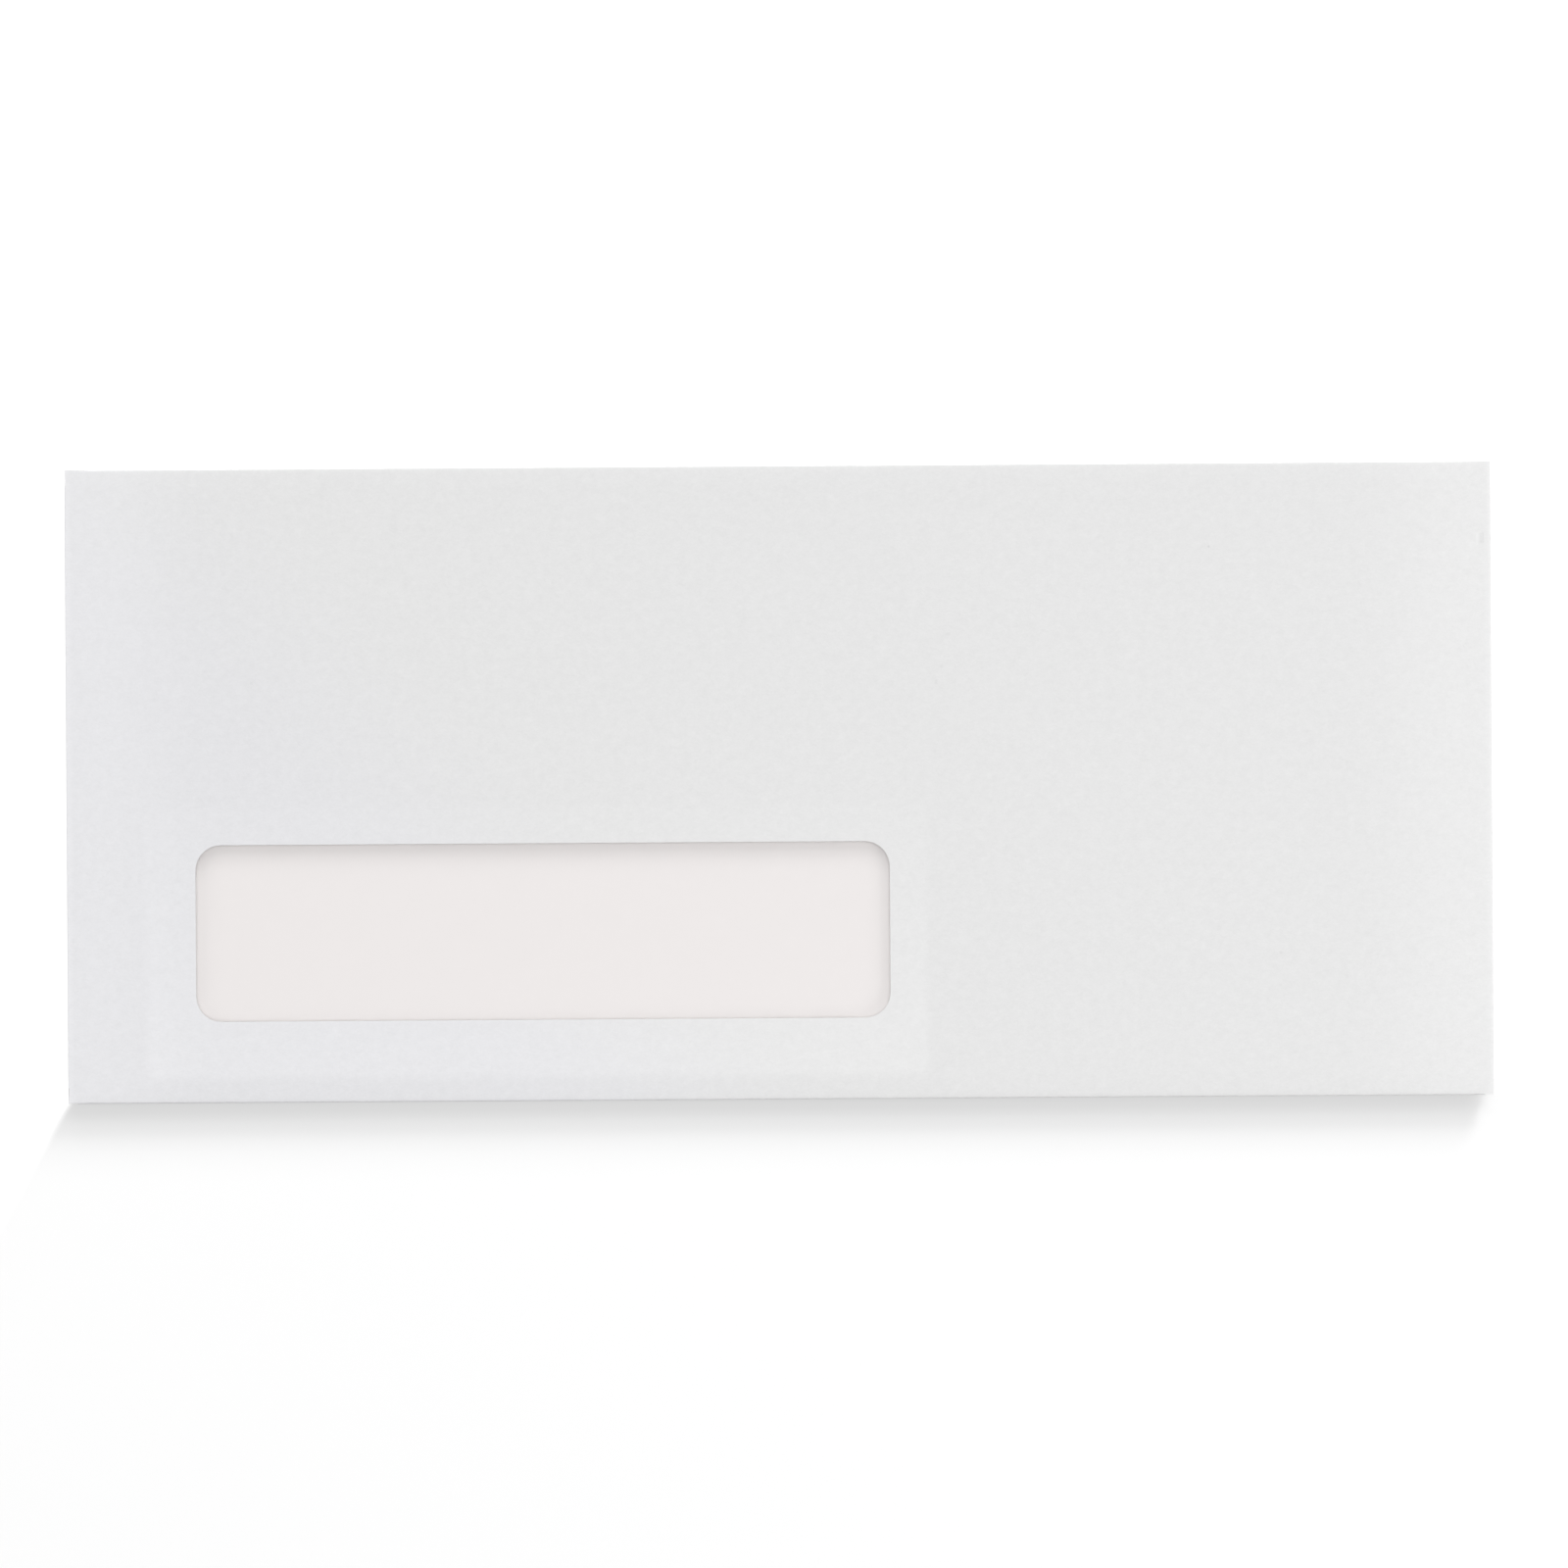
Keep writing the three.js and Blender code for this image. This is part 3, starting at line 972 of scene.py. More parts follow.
@dataclass
class EnvelopePaper:
    """The folded blank: the face with the window's hole, two side flaps, back panel and seal flap."""

    sizes: EnvelopeSizes
    column: float = 2.4 * MM
    row: float = 2.6 * MM
    clear_of_rows: float = 0.6
    roll_steps: int = 7
    fold_steps: int = 16
    settle_steps: int = 6
    corner_inset: float = 0.05 * MM
    seal_flap_settles: float = 9.0 * MM
    back_panel_settles: float = 2.2 * MM
    side_flap: FlapShape = FlapShape(18.0 * MM, 2.5 * MM, math.radians(75), 4.0 * MM)
    side_flap_upper_slant: float = math.radians(42)
    throat_depth: float = 15.0 * MM
    back_panel_shoulder: float = 1.5 * MM
    back_panel_slant: float = math.radians(88)
    back_panel_corner: float = 10.0 * MM
    seal_flap: FlapShape = FlapShape(38.0 * MM, 3.0 * MM, math.radians(50), 13.0 * MM)
    bow: float = 0.03 * MM
    bow_rise_along: float = 14.0 * MM
    bow_rise_up: float = 12.0 * MM
    cockle: float = 0.03 * MM
    cockle_width: float = 24.0 * MM
    cockle_rise: float = 12.0 * MM

    def build(self) -> bpy.types.Object:
        """Fold the blank.

        Returns:
            The closed solid sheet.
        """
        sheet = SheetMesh(self.sizes.paper)
        roots = self.add_face(sheet)
        for side in Side:
            self.add_flap(sheet, side, roots[side])
        return link_object("envelope_paper", sheet.to_mesh("envelope_paper"))

    def dress(self, obj: bpy.types.Object, effects: Effects) -> None:
        """Give the paper its three surfaces.

        Args:
            obj: The folded sheet.
            effects: The shared shader groups.
        """
        outer = PaperFinish("wove_paper", (0.80, 0.80, 0.80), (0.795, 0.795, 0.813), layers=ShowThroughAndPaintedLight())
        inside = (0.94, 0.903, 0.894)
        inner = PaperFinish("paper_inside", inside, inside, cloud=0.006, fleck=0.006, tooth=0.002 * MM)
        cut = PaperFinish("cut_paper_edge", (0.84, 0.84, 0.84), (0.84, 0.84, 0.84), tooth=0.02 * MM)
        for finish in (outer, inner, cut):
            obj.data.materials.append(finish.build(effects, self.sizes))

    def fold(self, side: Side) -> Fold:
        """The fold on one side of the face."""
        heights = {Side.BOTTOM: self.sizes.back_panel_z, Side.TOP: self.sizes.seal_flap_z}
        return self.sizes.fold_to(heights.get(side, self.sizes.side_flap_z))

    def flap_edges(self, side: Side) -> tuple[Edge, Edge]:
        """The two edges of a flap.

        Args:
            side: The flap's side.

        Returns:
            The edges in the direction that its fold runs.
        """
        body = self.sizes.body
        lower = self.side_flap.edge
        upper = replace(self.side_flap, slant=self.side_flap_upper_slant).edge
        if side is Side.RIGHT:
            return lower, mirrored(upper, body.height)
        if side is Side.LEFT:
            return upper, mirrored(lower, body.height)
        depth = body.height - self.throat_depth
        back_panel = FlapShape(depth, self.back_panel_shoulder, self.back_panel_slant, self.back_panel_corner)
        edge = self.seal_flap.edge if side is Side.TOP else back_panel.edge
        return edge, mirrored(edge, body.length)

    def place(self, side: Side, along: float, inwards: float) -> tuple[float, float]:
        """A point by a side of the envelope.

        Args:
            side: The side.
            along: Distance along it from its start.
            inwards: Distance inwards from it.

        Returns:
            The point's x and y.
        """
        out_x, out_y = side.value
        half_length, half_height = self.sizes.body.length / 2, self.sizes.body.height / 2
        x = half_length * (out_x + out_y) - out_y * along - out_x * inwards
        return x, half_height * (out_y - out_x) + out_x * along - out_y * inwards

    def turned_normal(self, side: Side, angle: float) -> Vector:
        """The sheet's normal where it has turned by an angle about a fold."""
        out_x, out_y = side.value
        return Vector((out_x * math.sin(angle), out_y * math.sin(angle), math.cos(angle)))

    def rolled(self, x: float, y: float) -> tuple[Vector, Vector]:
        """The sheet at a point of the face.

        Args:
            x: Place along the length.
            y: Place across the height.

        Returns:
            The point on the middle of the sheet, and the normal there.
        """
        sizes = self.sizes
        end_fold = self.fold(Side.TOP if y > 0 else Side.BOTTOM)
        distances = (
            sizes.body.length / 2 - self.fold(Side.RIGHT).start - abs(x),
            sizes.body.height / 2 - end_fold.start - abs(y),
        )
        turn_x, turn_y = (min(1.0, max(0.0, 1 - d / sizes.roll_width)) for d in distances)
        flat_x, flat_y = 1 - turn_x**2, 1 - turn_y**2
        lean_x = sizes.roll_steepest * turn_x * flat_y * math.copysign(1, x)
        lean_y = sizes.roll_steepest * turn_y * flat_x * math.copysign(1, y)
        height = sizes.fold_edge_z + sizes.roll_drop * flat_x * flat_y
        return Vector((x, y, height - self.dip(x, y, min(distances)))), Vector((lean_x, lean_y, 1.0))

    def dip(self, x: float, y: float, from_fold: float) -> float:
        """How far the face cockles down, clear of the film and the folds.

        Args:
            x: Place along the length.
            y: Place across the height.
            from_fold: Distance from the nearest fold.

        Returns:
            The depth of the dip.
        """
        free = smooth_rise(self.sizes.film.outside(x, y), self.cockle_rise)
        free *= smooth_rise(from_fold, self.cockle_rise)
        wave = noise.noise(Vector((x, y, 0.0)) / self.cockle_width)
        return self.cockle * free * (0.5 + 0.5 * wave)

    def add_face(self, sheet: SheetMesh) -> dict[Side, list[int]]:
        """Add the face: rings that roll up from the folds round a flat middle with the hole.

        Args:
            sheet: The sheet that gets the face.

        Returns:
            The outermost row of points at the root of each flap.
        """
        roots: dict[Side, list[int]] = {}
        rings = []
        sides = list(Side)
        for step in range(self.roll_steps + 1):
            inset = self.sizes.roll_width * step / self.roll_steps
            ring = []
            for before, side in zip(sides[-1:] + sides, sides):
                fold = self.fold(side)
                first, last = (along_at(edge, fold.inset) for edge in self.flap_edges(side))
                columns = math.ceil((last - first) / self.column)
                starts = (self.fold(before).start, fold.start) if step else 2 * (self.corner_inset,)
                corner = self.place(side, *(start + inset for start in starts))
                ring.append(sheet.add_point(*self.rolled(*corner)))
                root = []
                for column in range(columns + 1):
                    along = first + inset + (last - first - 2 * inset) * column / columns
                    middle, normal = self.rolled(*self.place(side, along, fold.start + inset))
                    if step == 0:
                        normal = self.turned_normal(side, self.sizes.roll_slope)
                    root.append(sheet.add_point(middle, normal))
                ring.extend(root)
                roots.setdefault(side, root)
            rings.append(ring + ring[:1])
        for outer, inner in zip(rings, rings[1:]):
            sheet.add_strip(inner, outer)
        self.add_middle(sheet, rings[-1][:-1])
        return roots

    def add_middle(self, sheet: SheetMesh, border: list[int]) -> None:
        """Fill the flat middle of the face round the window's hole.

        Args:
            sheet: The sheet that gets it.
            border: The innermost ring of the rolled border.
        """
        window = self.sizes.window
        clear = self.clear_of_rows * self.row
        places = [sheet.middles[i].xy for i in border]
        low, high = (Vector(tuple(map(pick, *places))) for pick in (min, max))
        rim = window.rounded(self.sizes.window_corner, self.column)
        inner = []
        # The points stand in equilateral triangles, so every other row is shifted by half a step
        rows = math.ceil((high.y - low.y) / (self.row * math.sqrt(0.75)))
        columns = math.ceil((high.x - low.x) / self.row)
        for row in range(1, rows):
            y = low.y + (high.y - low.y) * row / rows
            for column in range(columns):
                x = low.x + (high.x - low.x) * (column + 0.75 - 0.5 * (row % 2)) / columns
                if min(x - low.x, high.x - x) > clear and window.outside(x, y) > clear:
                    inner.append(Vector((x, y)))
        numbers = border + [sheet.add_point(*self.rolled(p.x, p.y)) for p in inner + rim]
        flat = [sheet.middles[i].xy for i in numbers]
        loops = (range(len(border)), range(len(numbers) - len(rim), len(numbers)))
        fences = [pair for loop in loops for pair in zip(loop, [*loop[1:], loop[0]])]
        _, _, faces, originals, _, _ = delaunay_2d_cdt(flat, fences, [], 0, SAME_POINT)
        for face in faces:
            corners = tuple(numbers[originals[i][0]] for i in face)
            if self.on_paper(sum((sheet.middles[i] for i in corners), Vector()) / 3):
                sheet.faces.append(corners)

    def on_paper(self, point: Vector) -> bool:
        """Whether a point in the middle of the face lies on paper.

        Args:
            point: The point.

        Returns:
            True where it is paper, and False where it is the window's hole.
        """
        window, radius = self.sizes.window, self.sizes.window_corner
        if window.outside(point.x, point.y) > 0:
            return True
        across = max(window.left + radius - point.x, point.x - window.right + radius)
        up = max(window.bottom + radius - point.y, point.y - window.top + radius)
        rim = radius * math.cos(math.pi / 4 / CORNER_STEPS)
        return across > 0 and up > 0 and math.hypot(across, up) > rim

    def add_flap(self, sheet: SheetMesh, side: Side, root: list[int]) -> None:
        """Add a flap: its fold turns from the face's slope to flat, then it runs to its tip.

        Args:
            sheet: The sheet that gets the flap.
            side: The flap's side.
            root: The face's points at the fold.
        """
        fold = self.fold(side)
        edges = self.flap_edges(side)
        slope = self.sizes.roll_slope
        quarter, half = math.pi / 2, self.fold_steps // 2
        angles = [slope + (quarter - slope) * step / half for step in range(1, half + 1)]
        angles += [quarter * (1 + step / half) for step in range(1, half + 1)]
        rows = []
        for angle in angles:
            inwards = fold.inset - fold.radius * math.sin(angle)
            height = fold.root_z + fold.radius * (1 + math.cos(angle))
            rows.append((fold.inset, inwards, height, self.turned_normal(side, angle)))

        settles = self.seal_flap_settles if side is Side.TOP else self.back_panel_settles
        distances = {round(d, NANOMETRE_DIGITS) for edge in edges for d, _ in edge if d > fold.inset}
        steps = range(1, self.settle_steps + 1)
        distances |= {fold.inset + settles * step / self.settle_steps for step in steps}
        last = fold.inset
        for distance in sorted(distances):
            steps = max(1, math.ceil((distance - last) / self.row))
            for step in range(1, steps + 1):
                at = last + (distance - last) * step / steps
                settled = smooth_rise(at - fold.inset, settles)
                rows.append((at, at, fold.root_z + (fold.flap_z - fold.root_z) * settled, -UP))
            last = distance

        row = root
        columns = len(root) - 1
        for width_at, inwards, height, normal in rows:
            first, last = (along_at(edge, width_at) for edge in edges)
            following = []
            for column in range(columns + 1):
                x, y = self.place(side, first + (last - first) * column / columns, inwards)
                lift = self.bowed(x, y) if side is Side.BOTTOM else 0.0
                following.append(sheet.add_point(Vector((x, y, height + lift)), normal))
            sheet.add_strip(row, following)
            row = following

    def bowed(self, x: float, y: float) -> float:
        """How far the free middle of the back panel bows up into the pocket.

        Args:
            x: Place along the length.
            y: Place across the height.

        Returns:
            The height of the bow.
        """
        free_length = self.sizes.body.length / 2 - self.side_flap.depth - abs(x)
        from_bottom = y - self.sizes.body.bottom - self.fold(Side.BOTTOM).inset
        along = smooth_rise(free_length, self.bow_rise_along)
        return self.bow * along * smooth_rise(from_bottom, self.bow_rise_up)


@dataclass
class WindowFilm:
    """The clear film behind the window, with the faint ripples of a thin film under glue."""

    ripple: float = 0.004 * MM
    ripple_width: float = 9.0 * MM
    cell: float = 1.5 * MM
    seed: float = 3.0
    joined_within: float = 0.0001 * MM

    def tree(self) -> GridGroup:
        """Build the tree: a grid, its ripples, and its two faces joined at their edges.

        Returns:
            The tree.
        """
        inputs = {"Thickness": 0.035 * MM, "Ripple": 0.004 * MM, "Ripple Width": 9.0 * MM, "Seed": 0.0}
        tree = GridGroup("rippled_film", inputs)
        source = tree.source
        place = tree.add("GeometryNodeInputPosition").outputs[0]
        waves = tree.noise(place, source["Ripple Width"], "4D", Detail=1.0, W=source["Seed"])
        height = tree.math("MULTIPLY", tree.math("SUBTRACT", waves, 0.5), source["Ripple"])
        rippled = {"Geometry": tree.grid, "Offset": tree.combined(Z=height)}
        lower = tree.add("GeometryNodeSetPosition", rippled).outputs[0]
        raised = {"Mesh": lower, "Offset": tree.combined(Z=1.0), "Offset Scale": source["Thickness"]}
        upper = tree.add("GeometryNodeExtrudeMesh", {**raised, "Individual": False}, mode="FACES")
        under = tree.add("GeometryNodeFlipFaces", {0: lower})
        both = tree.add("GeometryNodeJoinGeometry")
        for part in (upper.outputs["Mesh"], under.outputs[0]):
            tree.tree.links.new(part, both.inputs[0])
        touching = {"Geometry": both.outputs[0], "Distance": self.joined_within}
        tree.finish(tree.centred(tree.add("GeometryNodeMergeByDistance", touching).outputs[0]))
        return tree

    def build(self, effects: Effects) -> bpy.types.Object:
        """Build the film where the CAD film is.

        Args:
            effects: The shared shader groups.

        Returns:
            The film.
        """
        low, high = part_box("window_film")
        outline = Rectangle.of_node("window_film")
        values = {
            "Length": outline.length,
            "Height": outline.height,
            "Thickness": high[2] - low[2],
            "Centre": (*outline.centre, low[2]),
            "Columns": math.ceil(outline.length / self.cell) + 1,
            "Rows": math.ceil(outline.height / self.cell) + 1,
            "Ripple": self.ripple,
            "Ripple Width": self.ripple_width,
            "Seed": self.seed,
            "Material": FilmFinish().build(effects),
        }
        return self.tree().run("clear_film", values)


@dataclass
class GlueLayers:
    """The three layers of glue, printed as rows of dots: round the window and on both side seams."""

    sizes: EnvelopeSizes
    pitch: float = 1.4 * MM
    dot: float = 0.52 * MM
    dot_sides: int = 10
    smallest: float = 0.8
    window_margin: float = 1.2 * MM

    def tree(self) -> GridGroup:
        """Build the tree: a grid of points, those in the window dropped, and a flat dot on each.

        Returns:
            The tree.
        """
        dot = {"Dot Radius": 0.5 * MM, "Thickness": 0.03 * MM, "Seed": 0}
        hole = {"Hole Centre": (0.0, 0.0, 0.0), "Hole Half Length": 0.0, "Hole Half Height": 0.0}
        tree = GridGroup("glue_dots", {**dot, **hole})
        source = tree.source
        place = tree.add("GeometryNodeInputPosition").outputs[0]
        place = tree.axes(tree.vector("SUBTRACT", Vector=place, Other=source["Hole Centre"]))
        inside = [
            tree.math("LESS_THAN", tree.math("ABSOLUTE", place[axis]), source[size])
            for axis, size in (("X", "Hole Half Length"), ("Y", "Hole Half Height"))
        ]
        dropped = {"Geometry": tree.centred(tree.grid), "Selection": tree.math("MULTIPLY", *inside)}
        kept = tree.add("GeometryNodeDeleteGeometry", dropped, domain="POINT").outputs[0]
        disc = {"Vertices": self.dot_sides, "Radius": source["Dot Radius"], "Depth": source["Thickness"]}
        disc = tree.add("GeometryNodeMeshCylinder", disc, fill_type="TRIANGLE_FAN").outputs["Mesh"]
        # A Random Value node's numbers are its inputs 2 and 3 and its output 1
        spread = {2: self.smallest, 3: 1.0, "Seed": source["Seed"]}
        size = tree.add("FunctionNodeRandomValue", spread, data_type="FLOAT").outputs[1]
        dots = {"Points": kept, "Instance": disc, "Scale": tree.combined(X=size, Y=size, Z=1.0)}
        tree.finish(tree.add("GeometryNodeInstanceOnPoints", dots).outputs[0])
        return tree

    def build(self, effects: Effects) -> dict[str, bpy.types.Object]:
        """Build the dots of each layer inside its CAD solid.

        Args:
            effects: The shared shader groups.

        Returns:
            The layers by CAD node.
        """
        finish = CoatFinish("dried_glue", (0.81, 0.79, 0.73), roughness=0.42, streak_width=0.4 * MM)
        material = finish.build(effects)
        tree = self.tree()
        window = self.sizes.window
        layers = {}
        for seed, node in enumerate(("film_glue", "seam_glue_left", "seam_glue_right")):
            low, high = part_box(node)
            outline = Rectangle.of_node(node)
            length = outline.length - 2 * self.dot
            height = outline.height - 2 * self.dot
            margin = self.window_margin + self.dot if node == "film_glue" else -self.sizes.body.length
            values = {
                "Length": length,
                "Height": height,
                "Centre": (*outline.centre, (low[2] + high[2]) / 2),
                "Columns": round(length / self.pitch) + 1,
                "Rows": round(height / self.pitch) + 1,
                "Dot Radius": self.dot,
                "Thickness": high[2] - low[2],
                "Hole Centre": (*window.centre, 0.0),
                "Hole Half Length": window.length / 2 + margin,
                "Hole Half Height": window.height / 2 + margin,
                "Seed": seed,
                "Material": material,
            }
            layers[node] = tree.run(f"{node}_dots", values)
        return layers


@dataclass
class SealGum:
    """The dry gum on the inner face of the seal flap, a band that follows the flap's edge."""

    sizes: EnvelopeSizes
    paper: EnvelopePaper
    width: float = 12.0 * MM
    from_edge: float = 1.5 * MM
    from_fold: float = 10.0 * MM
    inner_corner: float = 2.0 * MM
    rows: int = 6

    def edge(self, inset: float, corner: float) -> Edge:
        """One long edge of the band, from one end of the fold round the flap's tip to the other.

        Args:
            inset: How far it lies inside the flap's edge.
            corner: Radius of its corners.

        Returns:
            Points as (distance from the fold, place along the fold).
        """
        flap = self.paper.seal_flap
        shoulder = flap.shoulder + inset / math.sin(flap.slant)
        edge = FlapShape(flap.depth - inset, shoulder, flap.slant, corner).edge
        half = [(self.from_fold, along_at(edge, self.from_fold)), *edge[1:]]
        return half + mirrored(half, self.sizes.body.length)[::-1]

    def build(self, effects: Effects) -> bpy.types.Object:
        """Build the band in rows from its outer edge to its inner edge.

        Args:
            effects: The shared shader groups.

        Returns:
            The gum.
        """
        low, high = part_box("seal_gum")
        sheet = SheetMesh(high[2] - low[2])
        outer = self.edge(self.from_edge, self.paper.seal_flap.corner - self.from_edge)
        inner = self.edge(self.from_edge + self.width, self.inner_corner)
        rows = []
        for step in range(self.rows + 1):
            share = step / self.rows
            row = []
            for (outer_depth, outer_along), (inner_depth, inner_along) in zip(outer, inner):
                along = outer_along + (inner_along - outer_along) * share
                x, y = self.paper.place(Side.TOP, along, outer_depth + (inner_depth - outer_depth) * share)
                row.append(sheet.add_point(Vector((x, y, (low[2] + high[2]) / 2)), UP))
            rows.append(row)
        for row, following in zip(rows, rows[1:]):
            sheet.add_strip(row, following)
        mesh = sheet.to_mesh("seal_flap_gum")
        mesh.polygons.foreach_set("material_index", [0] * len(mesh.polygons))
        finish = CoatFinish("dry_gum", (0.80, 0.76, 0.66), roughness=0.2, streak_width=0.6 * MM)
        mesh.materials.append(finish.build(effects))
        return link_object("seal_flap_gum", mesh)


# The studio


@dataclass(frozen=True)
class SoftLamp:
    """A soft lamp that looks at the envelope from far away, so that it lights it evenly.

    Attributes:
        name: The lamp's name.
        direction: Compass direction that it stands in, in degrees from +X towards +Y.
        low: Elevation of its lower edge, in degrees.
        high: Elevation of its upper edge, in degrees.
        width: Angle that it spans along the floor, in degrees.
        share: Its light on a level surface, where an even white sky gives 1.
        floor_only: Whether it lights just the floor, and the envelope only casts its shadow.
        distance: Its distance from the middle of the envelope.
    """

    name: str
    direction: float
    low: float
    high: float
    width: float
    share: float
    floor_only: bool = False
    distance: float = 5.0

    def span(self, degrees: float) -> float:
        """The width that spans an angle at the lamp's distance."""
        return 2 * self.distance * math.tan(math.radians(degrees / 2))

    def build(self, floor: bpy.types.Object) -> None:
        """Build the lamp and aim it at the middle of the envelope.

        Args:
            floor: The floor.
        """
        elevation = math.radians((self.low + self.high) / 2)
        light = bpy.data.lights.new(self.name, "AREA")
        light.shape = "RECTANGLE"
        light.size = self.span(self.width)
        light.size_y = self.span(self.high - self.low)
        light.energy = self.share * (math.pi * self.distance) ** 2 / math.sin(elevation)
        obj = link_object(self.name, light)
        towards = Vector((-math.cos(elevation), 0.0, -math.sin(elevation)))
        towards.rotate(Euler((0.0, 0.0, math.radians(self.direction))))
        obj.location = -self.distance * towards
        obj.rotation_euler = towards.to_track_quat("-Z", "Y").to_euler()
        obj.visible_camera = False
        obj.visible_glossy = False
        if self.floor_only:
            receivers = bpy.data.collections.new(f"{self.name}_receivers")
            receivers.objects.link(floor)
            obj.light_linking.receiver_collection = receivers


@dataclass
class Studio:
    """The floor, the light and the camera.

    The camera looks straight down in parallel projection, because the photograph's outline has square
    corners and equal opposite sides. Pixels are those of the photograph, 1600 across.
    """

    sizes: EnvelopeSizes
    image_pixels: float = 1600.0
    envelope_pixels: float = 1455.2
    centre_pixels: tuple[float, float] = (795.3, 798.3)
    turn: float = math.radians(0.3775)
    camera_height: float = 0.8
    nearest: float = 0.01
    farthest: float = 10.0
    floor_size: float = 6.0
    floor_below: float = 0.02 * MM
    floor_colour: Colour = (0.2, 0.2, 0.2)
    floor_white: float = 0.554
    floor_whiter: float = 0.4
    shadow_lean: float = math.radians(28.6)
    lean_start: float = -1.0 * MM
    lean_end: float = 0.5 * MM
    lean_spread: float = 0.3
    dome: float = 0.572
    dome_power: float = 4.0
    lamps: tuple[SoftLamp, ...] = (
        SoftLamp("low_top_lamp", 88.0, 6.5, 13.0, 50.0, 0.14),
        SoftLamp("top_lamp", 88.0, 13.0, 26.0, 50.0, 0.14),
        SoftLamp("left_lamp", 175.0, 7.0, 20.0, 40.0, 0.07),
        SoftLamp("right_lamp", -30.0, 7.0, 20.0, 30.0, 0.12, distance=1.1),
        SoftLamp("low_shadow_lamp", 61.0, 5.0, 13.0, 8.0, 0.76, floor_only=True),
        SoftLamp("shadow_lamp", 61.0, 13.0, 24.0, 8.0, 0.29, floor_only=True),
        SoftLamp("high_shadow_lamp", 61.0, 24.0, 35.0, 10.0, 0.21, floor_only=True),
    )

    def build(self) -> None:
        """Build everything but the envelope."""
        floor = self.build_floor()
        self.build_world()
        for lamp in self.lamps:
            lamp.build(floor)
        self.build_camera()

    def build_floor(self) -> bpy.types.Object:
        """Build a plain white floor that keeps the envelope's shadow.

        Returns:
            The floor.
        """
        half = self.floor_size / 2
        corners = [(-half, -half), (half, -half), (half, half), (-half, half)]
        mesh = bpy.data.meshes.new("studio_floor")
        mesh.from_pydata([(x, y, -self.floor_below) for x, y in corners], [], [(0, 1, 2, 3)])
        nodes = MaterialNodes("studio_floor")
        nodes.tree.nodes.remove(nodes.shader)
        lit = nodes.add("ShaderNodeBsdfDiffuse", {"Color": (*self.floor_colour, 1.0)})
        strength = nodes.math("MULTIPLY", self.seen(nodes), self.whiteness(nodes))
        glow = nodes.add("ShaderNodeEmission", {"Strength": strength})
        both = nodes.add("ShaderNodeAddShader", {0: lit.outputs[0], 1: glow.outputs[0]})
        nodes.feed(nodes.tree.nodes["Material Output"], {"Surface": both.outputs[0]})
        mesh.materials.append(nodes.material)
        floor = link_object("studio_floor", mesh)
        return floor

    def whiteness(self, nodes: MaterialNodes) -> Socket:
        """How white the floor looks to the camera, with painted light over the envelope's shadow in places.

        The photograph's background is pure white beside and above the envelope, and its shadow leans to
        the left from both bottom corners, so the floor looks whiter up from the bottom edge and to the
        left of that lean, but not under the envelope.

        Args:
            nodes: The floor's tree.

        Returns:
            The strength of its glow.
        """
        body = self.sizes.body
        place = nodes.axes(nodes.place)
        above = nodes.math("SUBTRACT", place["Y"], body.bottom)
        leaning = nodes.math("MULTIPLY", above, math.tan(self.shadow_lean))
        aside = nodes.math("SUBTRACT", nodes.math("ADD", leaning, body.left), place["X"])
        lean_end = nodes.math("MULTIPLY_ADD", above, -self.lean_spread, self.lean_end)
        past_lean = nodes.ramp(aside, self.lean_start, lean_end)
        clear = nodes.math("MAXIMUM", nodes.math("GREATER_THAN", above, 0.0), past_lean)
        beyond = [
            nodes.math("GREATER_THAN", nodes.math("ABSOLUTE", place[axis]), size / 2)
            for axis, size in (("X", body.length), ("Y", body.height))
        ]
        clear = nodes.math("MULTIPLY", clear, nodes.math("MAXIMUM", *beyond))
        # Painted light: the extra glow hides the envelope's shadow beside and above it, and cuts the shadow's
        # ends to a leaning line
        return nodes.math("MULTIPLY_ADD", clear, self.floor_whiter, self.floor_white)

    def seen(self, nodes: Nodes) -> Socket:
        """What the camera sees, straight or in a gloss or through glass.

        Args:
            nodes: The tree that gets the nodes.

        Returns:
            An output that is 1 for such a ray and 0 for any other.
        """
        path = nodes.add("ShaderNodeLightPath").outputs
        direct = nodes.math("ADD", path["Is Camera Ray"], path["Is Glossy Ray"])
        return nodes.math("ADD", direct, path["Is Transmission Ray"], clamp=True)

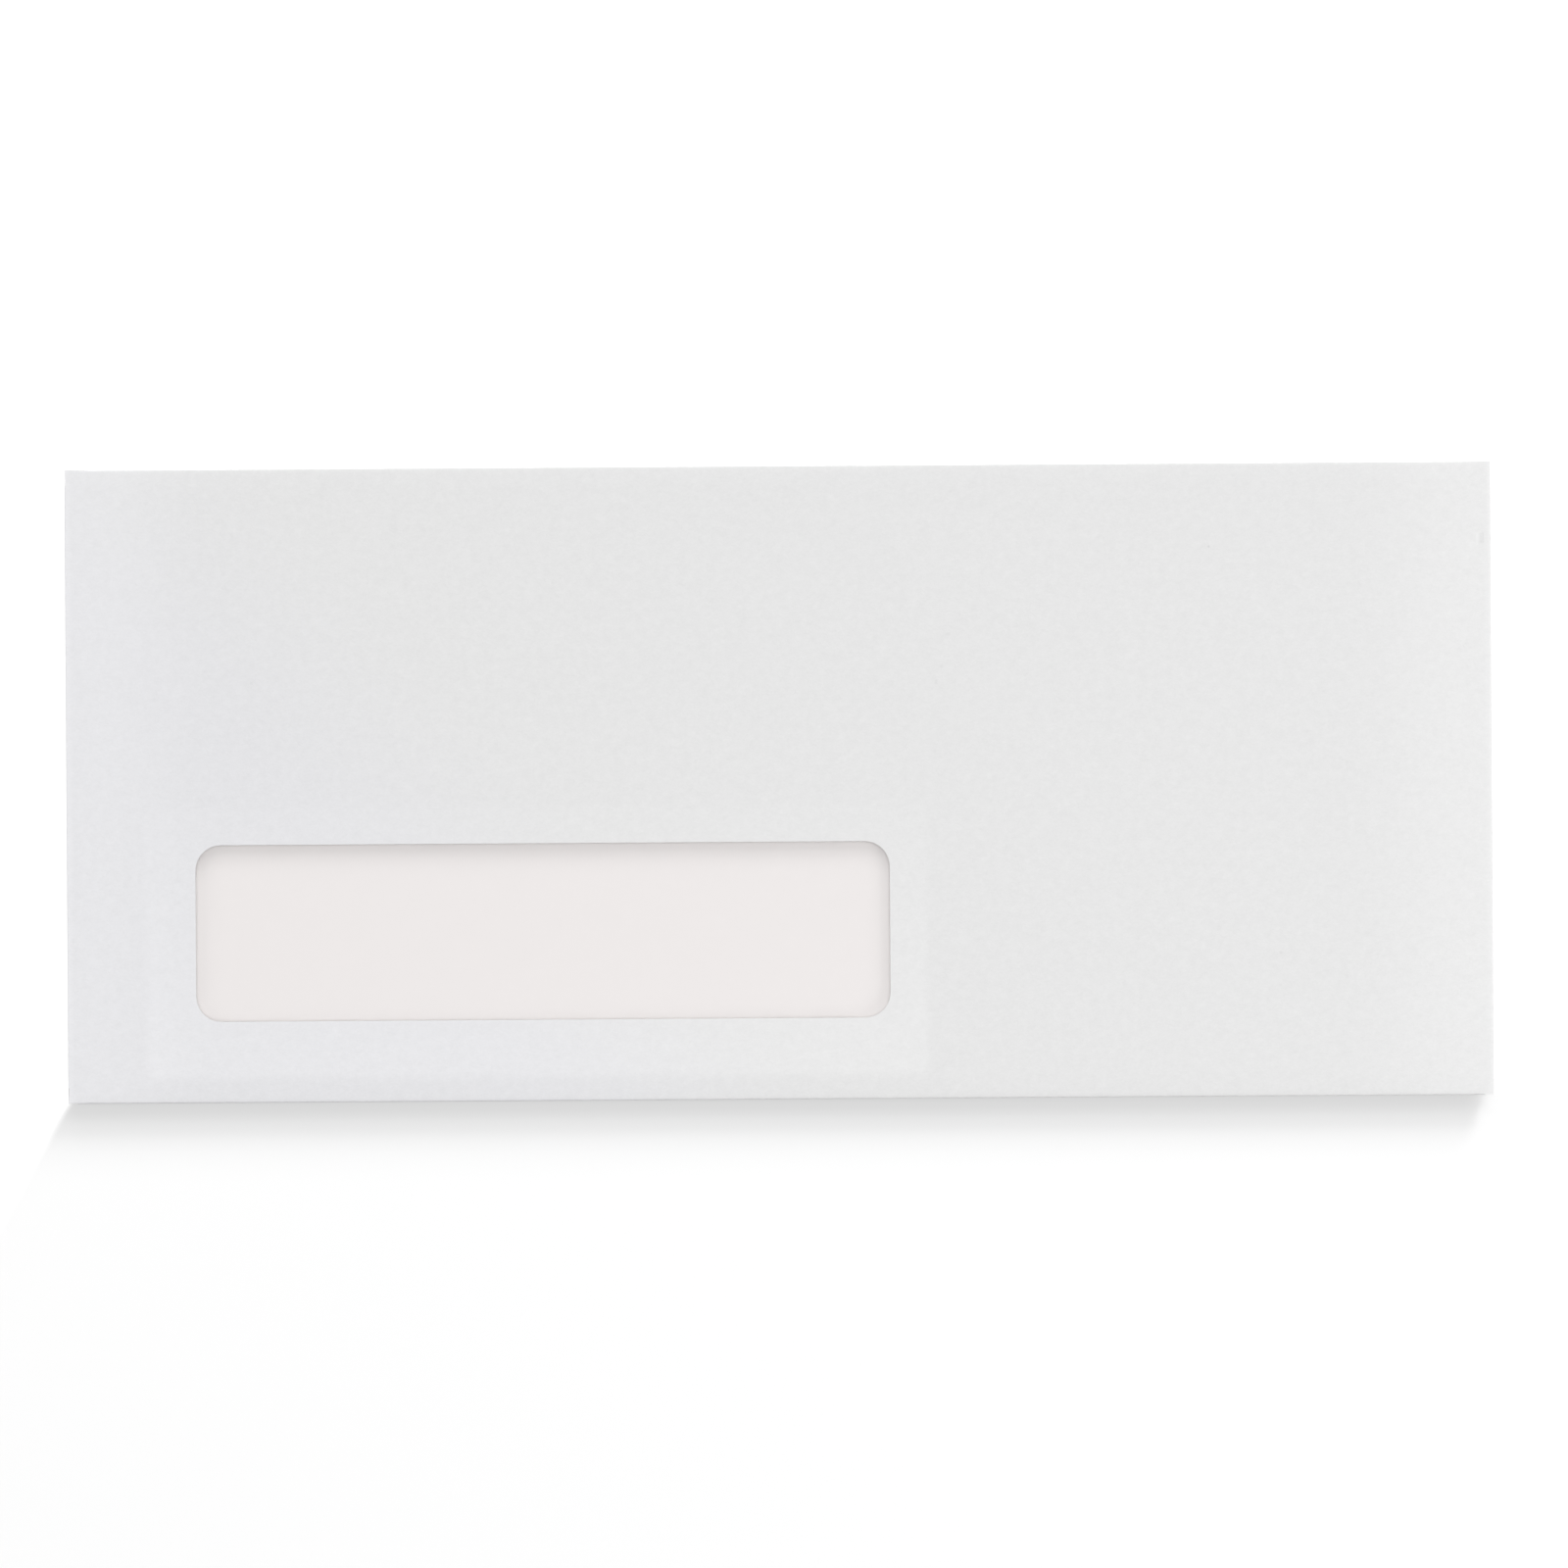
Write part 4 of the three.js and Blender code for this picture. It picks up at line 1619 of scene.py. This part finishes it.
    def build_world(self) -> None:
        """Build a dome that looks plain white and lights the envelope, mostly from straight above."""
        world = bpy.data.worlds.new("studio_dome")
        bpy.context.scene.world = world
        world.use_nodes = True
        nodes = Nodes(world.node_tree)
        direction = nodes.axes(nodes.add("ShaderNodeTexCoord").outputs["Generated"])
        height = nodes.math("MAXIMUM", direction["Z"], 0.0)
        # A sky that fades as a power of its height gives 2 / (power + 2) of the light of an even one
        strongest = (self.dome_power + 2) / 2 * self.dome
        lit = nodes.math("MULTIPLY", nodes.math("POWER", height, self.dome_power), strongest)
        # A Mix node's numbers are its inputs 2 and 3
        strength = nodes.add("ShaderNodeMix", {0: self.seen(nodes), 2: lit, 3: 1.0}, data_type="FLOAT")
        inputs = {"Color": (1.0, 1.0, 1.0, 1.0), "Strength": strength.outputs[0]}
        nodes.feed(nodes.tree.nodes["Background"], inputs)

    def build_camera(self) -> None:
        """Build the camera that sees the envelope where the photograph shows it."""
        pixel = self.sizes.body.length / self.envelope_pixels
        middle = self.image_pixels / 2
        aside = Vector((middle - self.centre_pixels[0], self.centre_pixels[1] - middle, 0.0)) * pixel
        data = bpy.data.cameras.new("camera")
        data.type = "ORTHO"
        data.ortho_scale = self.image_pixels * pixel
        data.clip_start = self.nearest
        data.clip_end = self.farthest
        camera = link_object("camera", data)
        camera.location = Matrix.Rotation(-self.turn, 3, "Z") @ aside + self.camera_height * UP
        camera.rotation_euler = Euler((0.0, 0.0, -self.turn))
        bpy.context.scene.camera = camera


def main() -> None:
    """Build the envelope and the studio."""
    logging.basicConfig(level=logging.INFO, format="%(name)s %(message)s")
    bpy.context.scene.view_settings.view_transform = "Standard"
    sizes = EnvelopeSizes()
    effects = Effects()
    Studio(sizes).build()

    paper = EnvelopePaper(sizes)
    sheet = paper.build()
    paper.dress(sheet, effects)
    finish_piece(sheet, "envelope_blank")

    finish_piece(WindowFilm().build(effects), "window_film")
    for node, layer in GlueLayers(sizes).build(effects).items():
        finish_piece(layer, node)
    finish_piece(SealGum(sizes, paper).build(effects), "seal_gum")


if __name__ == "__main__":
    main()
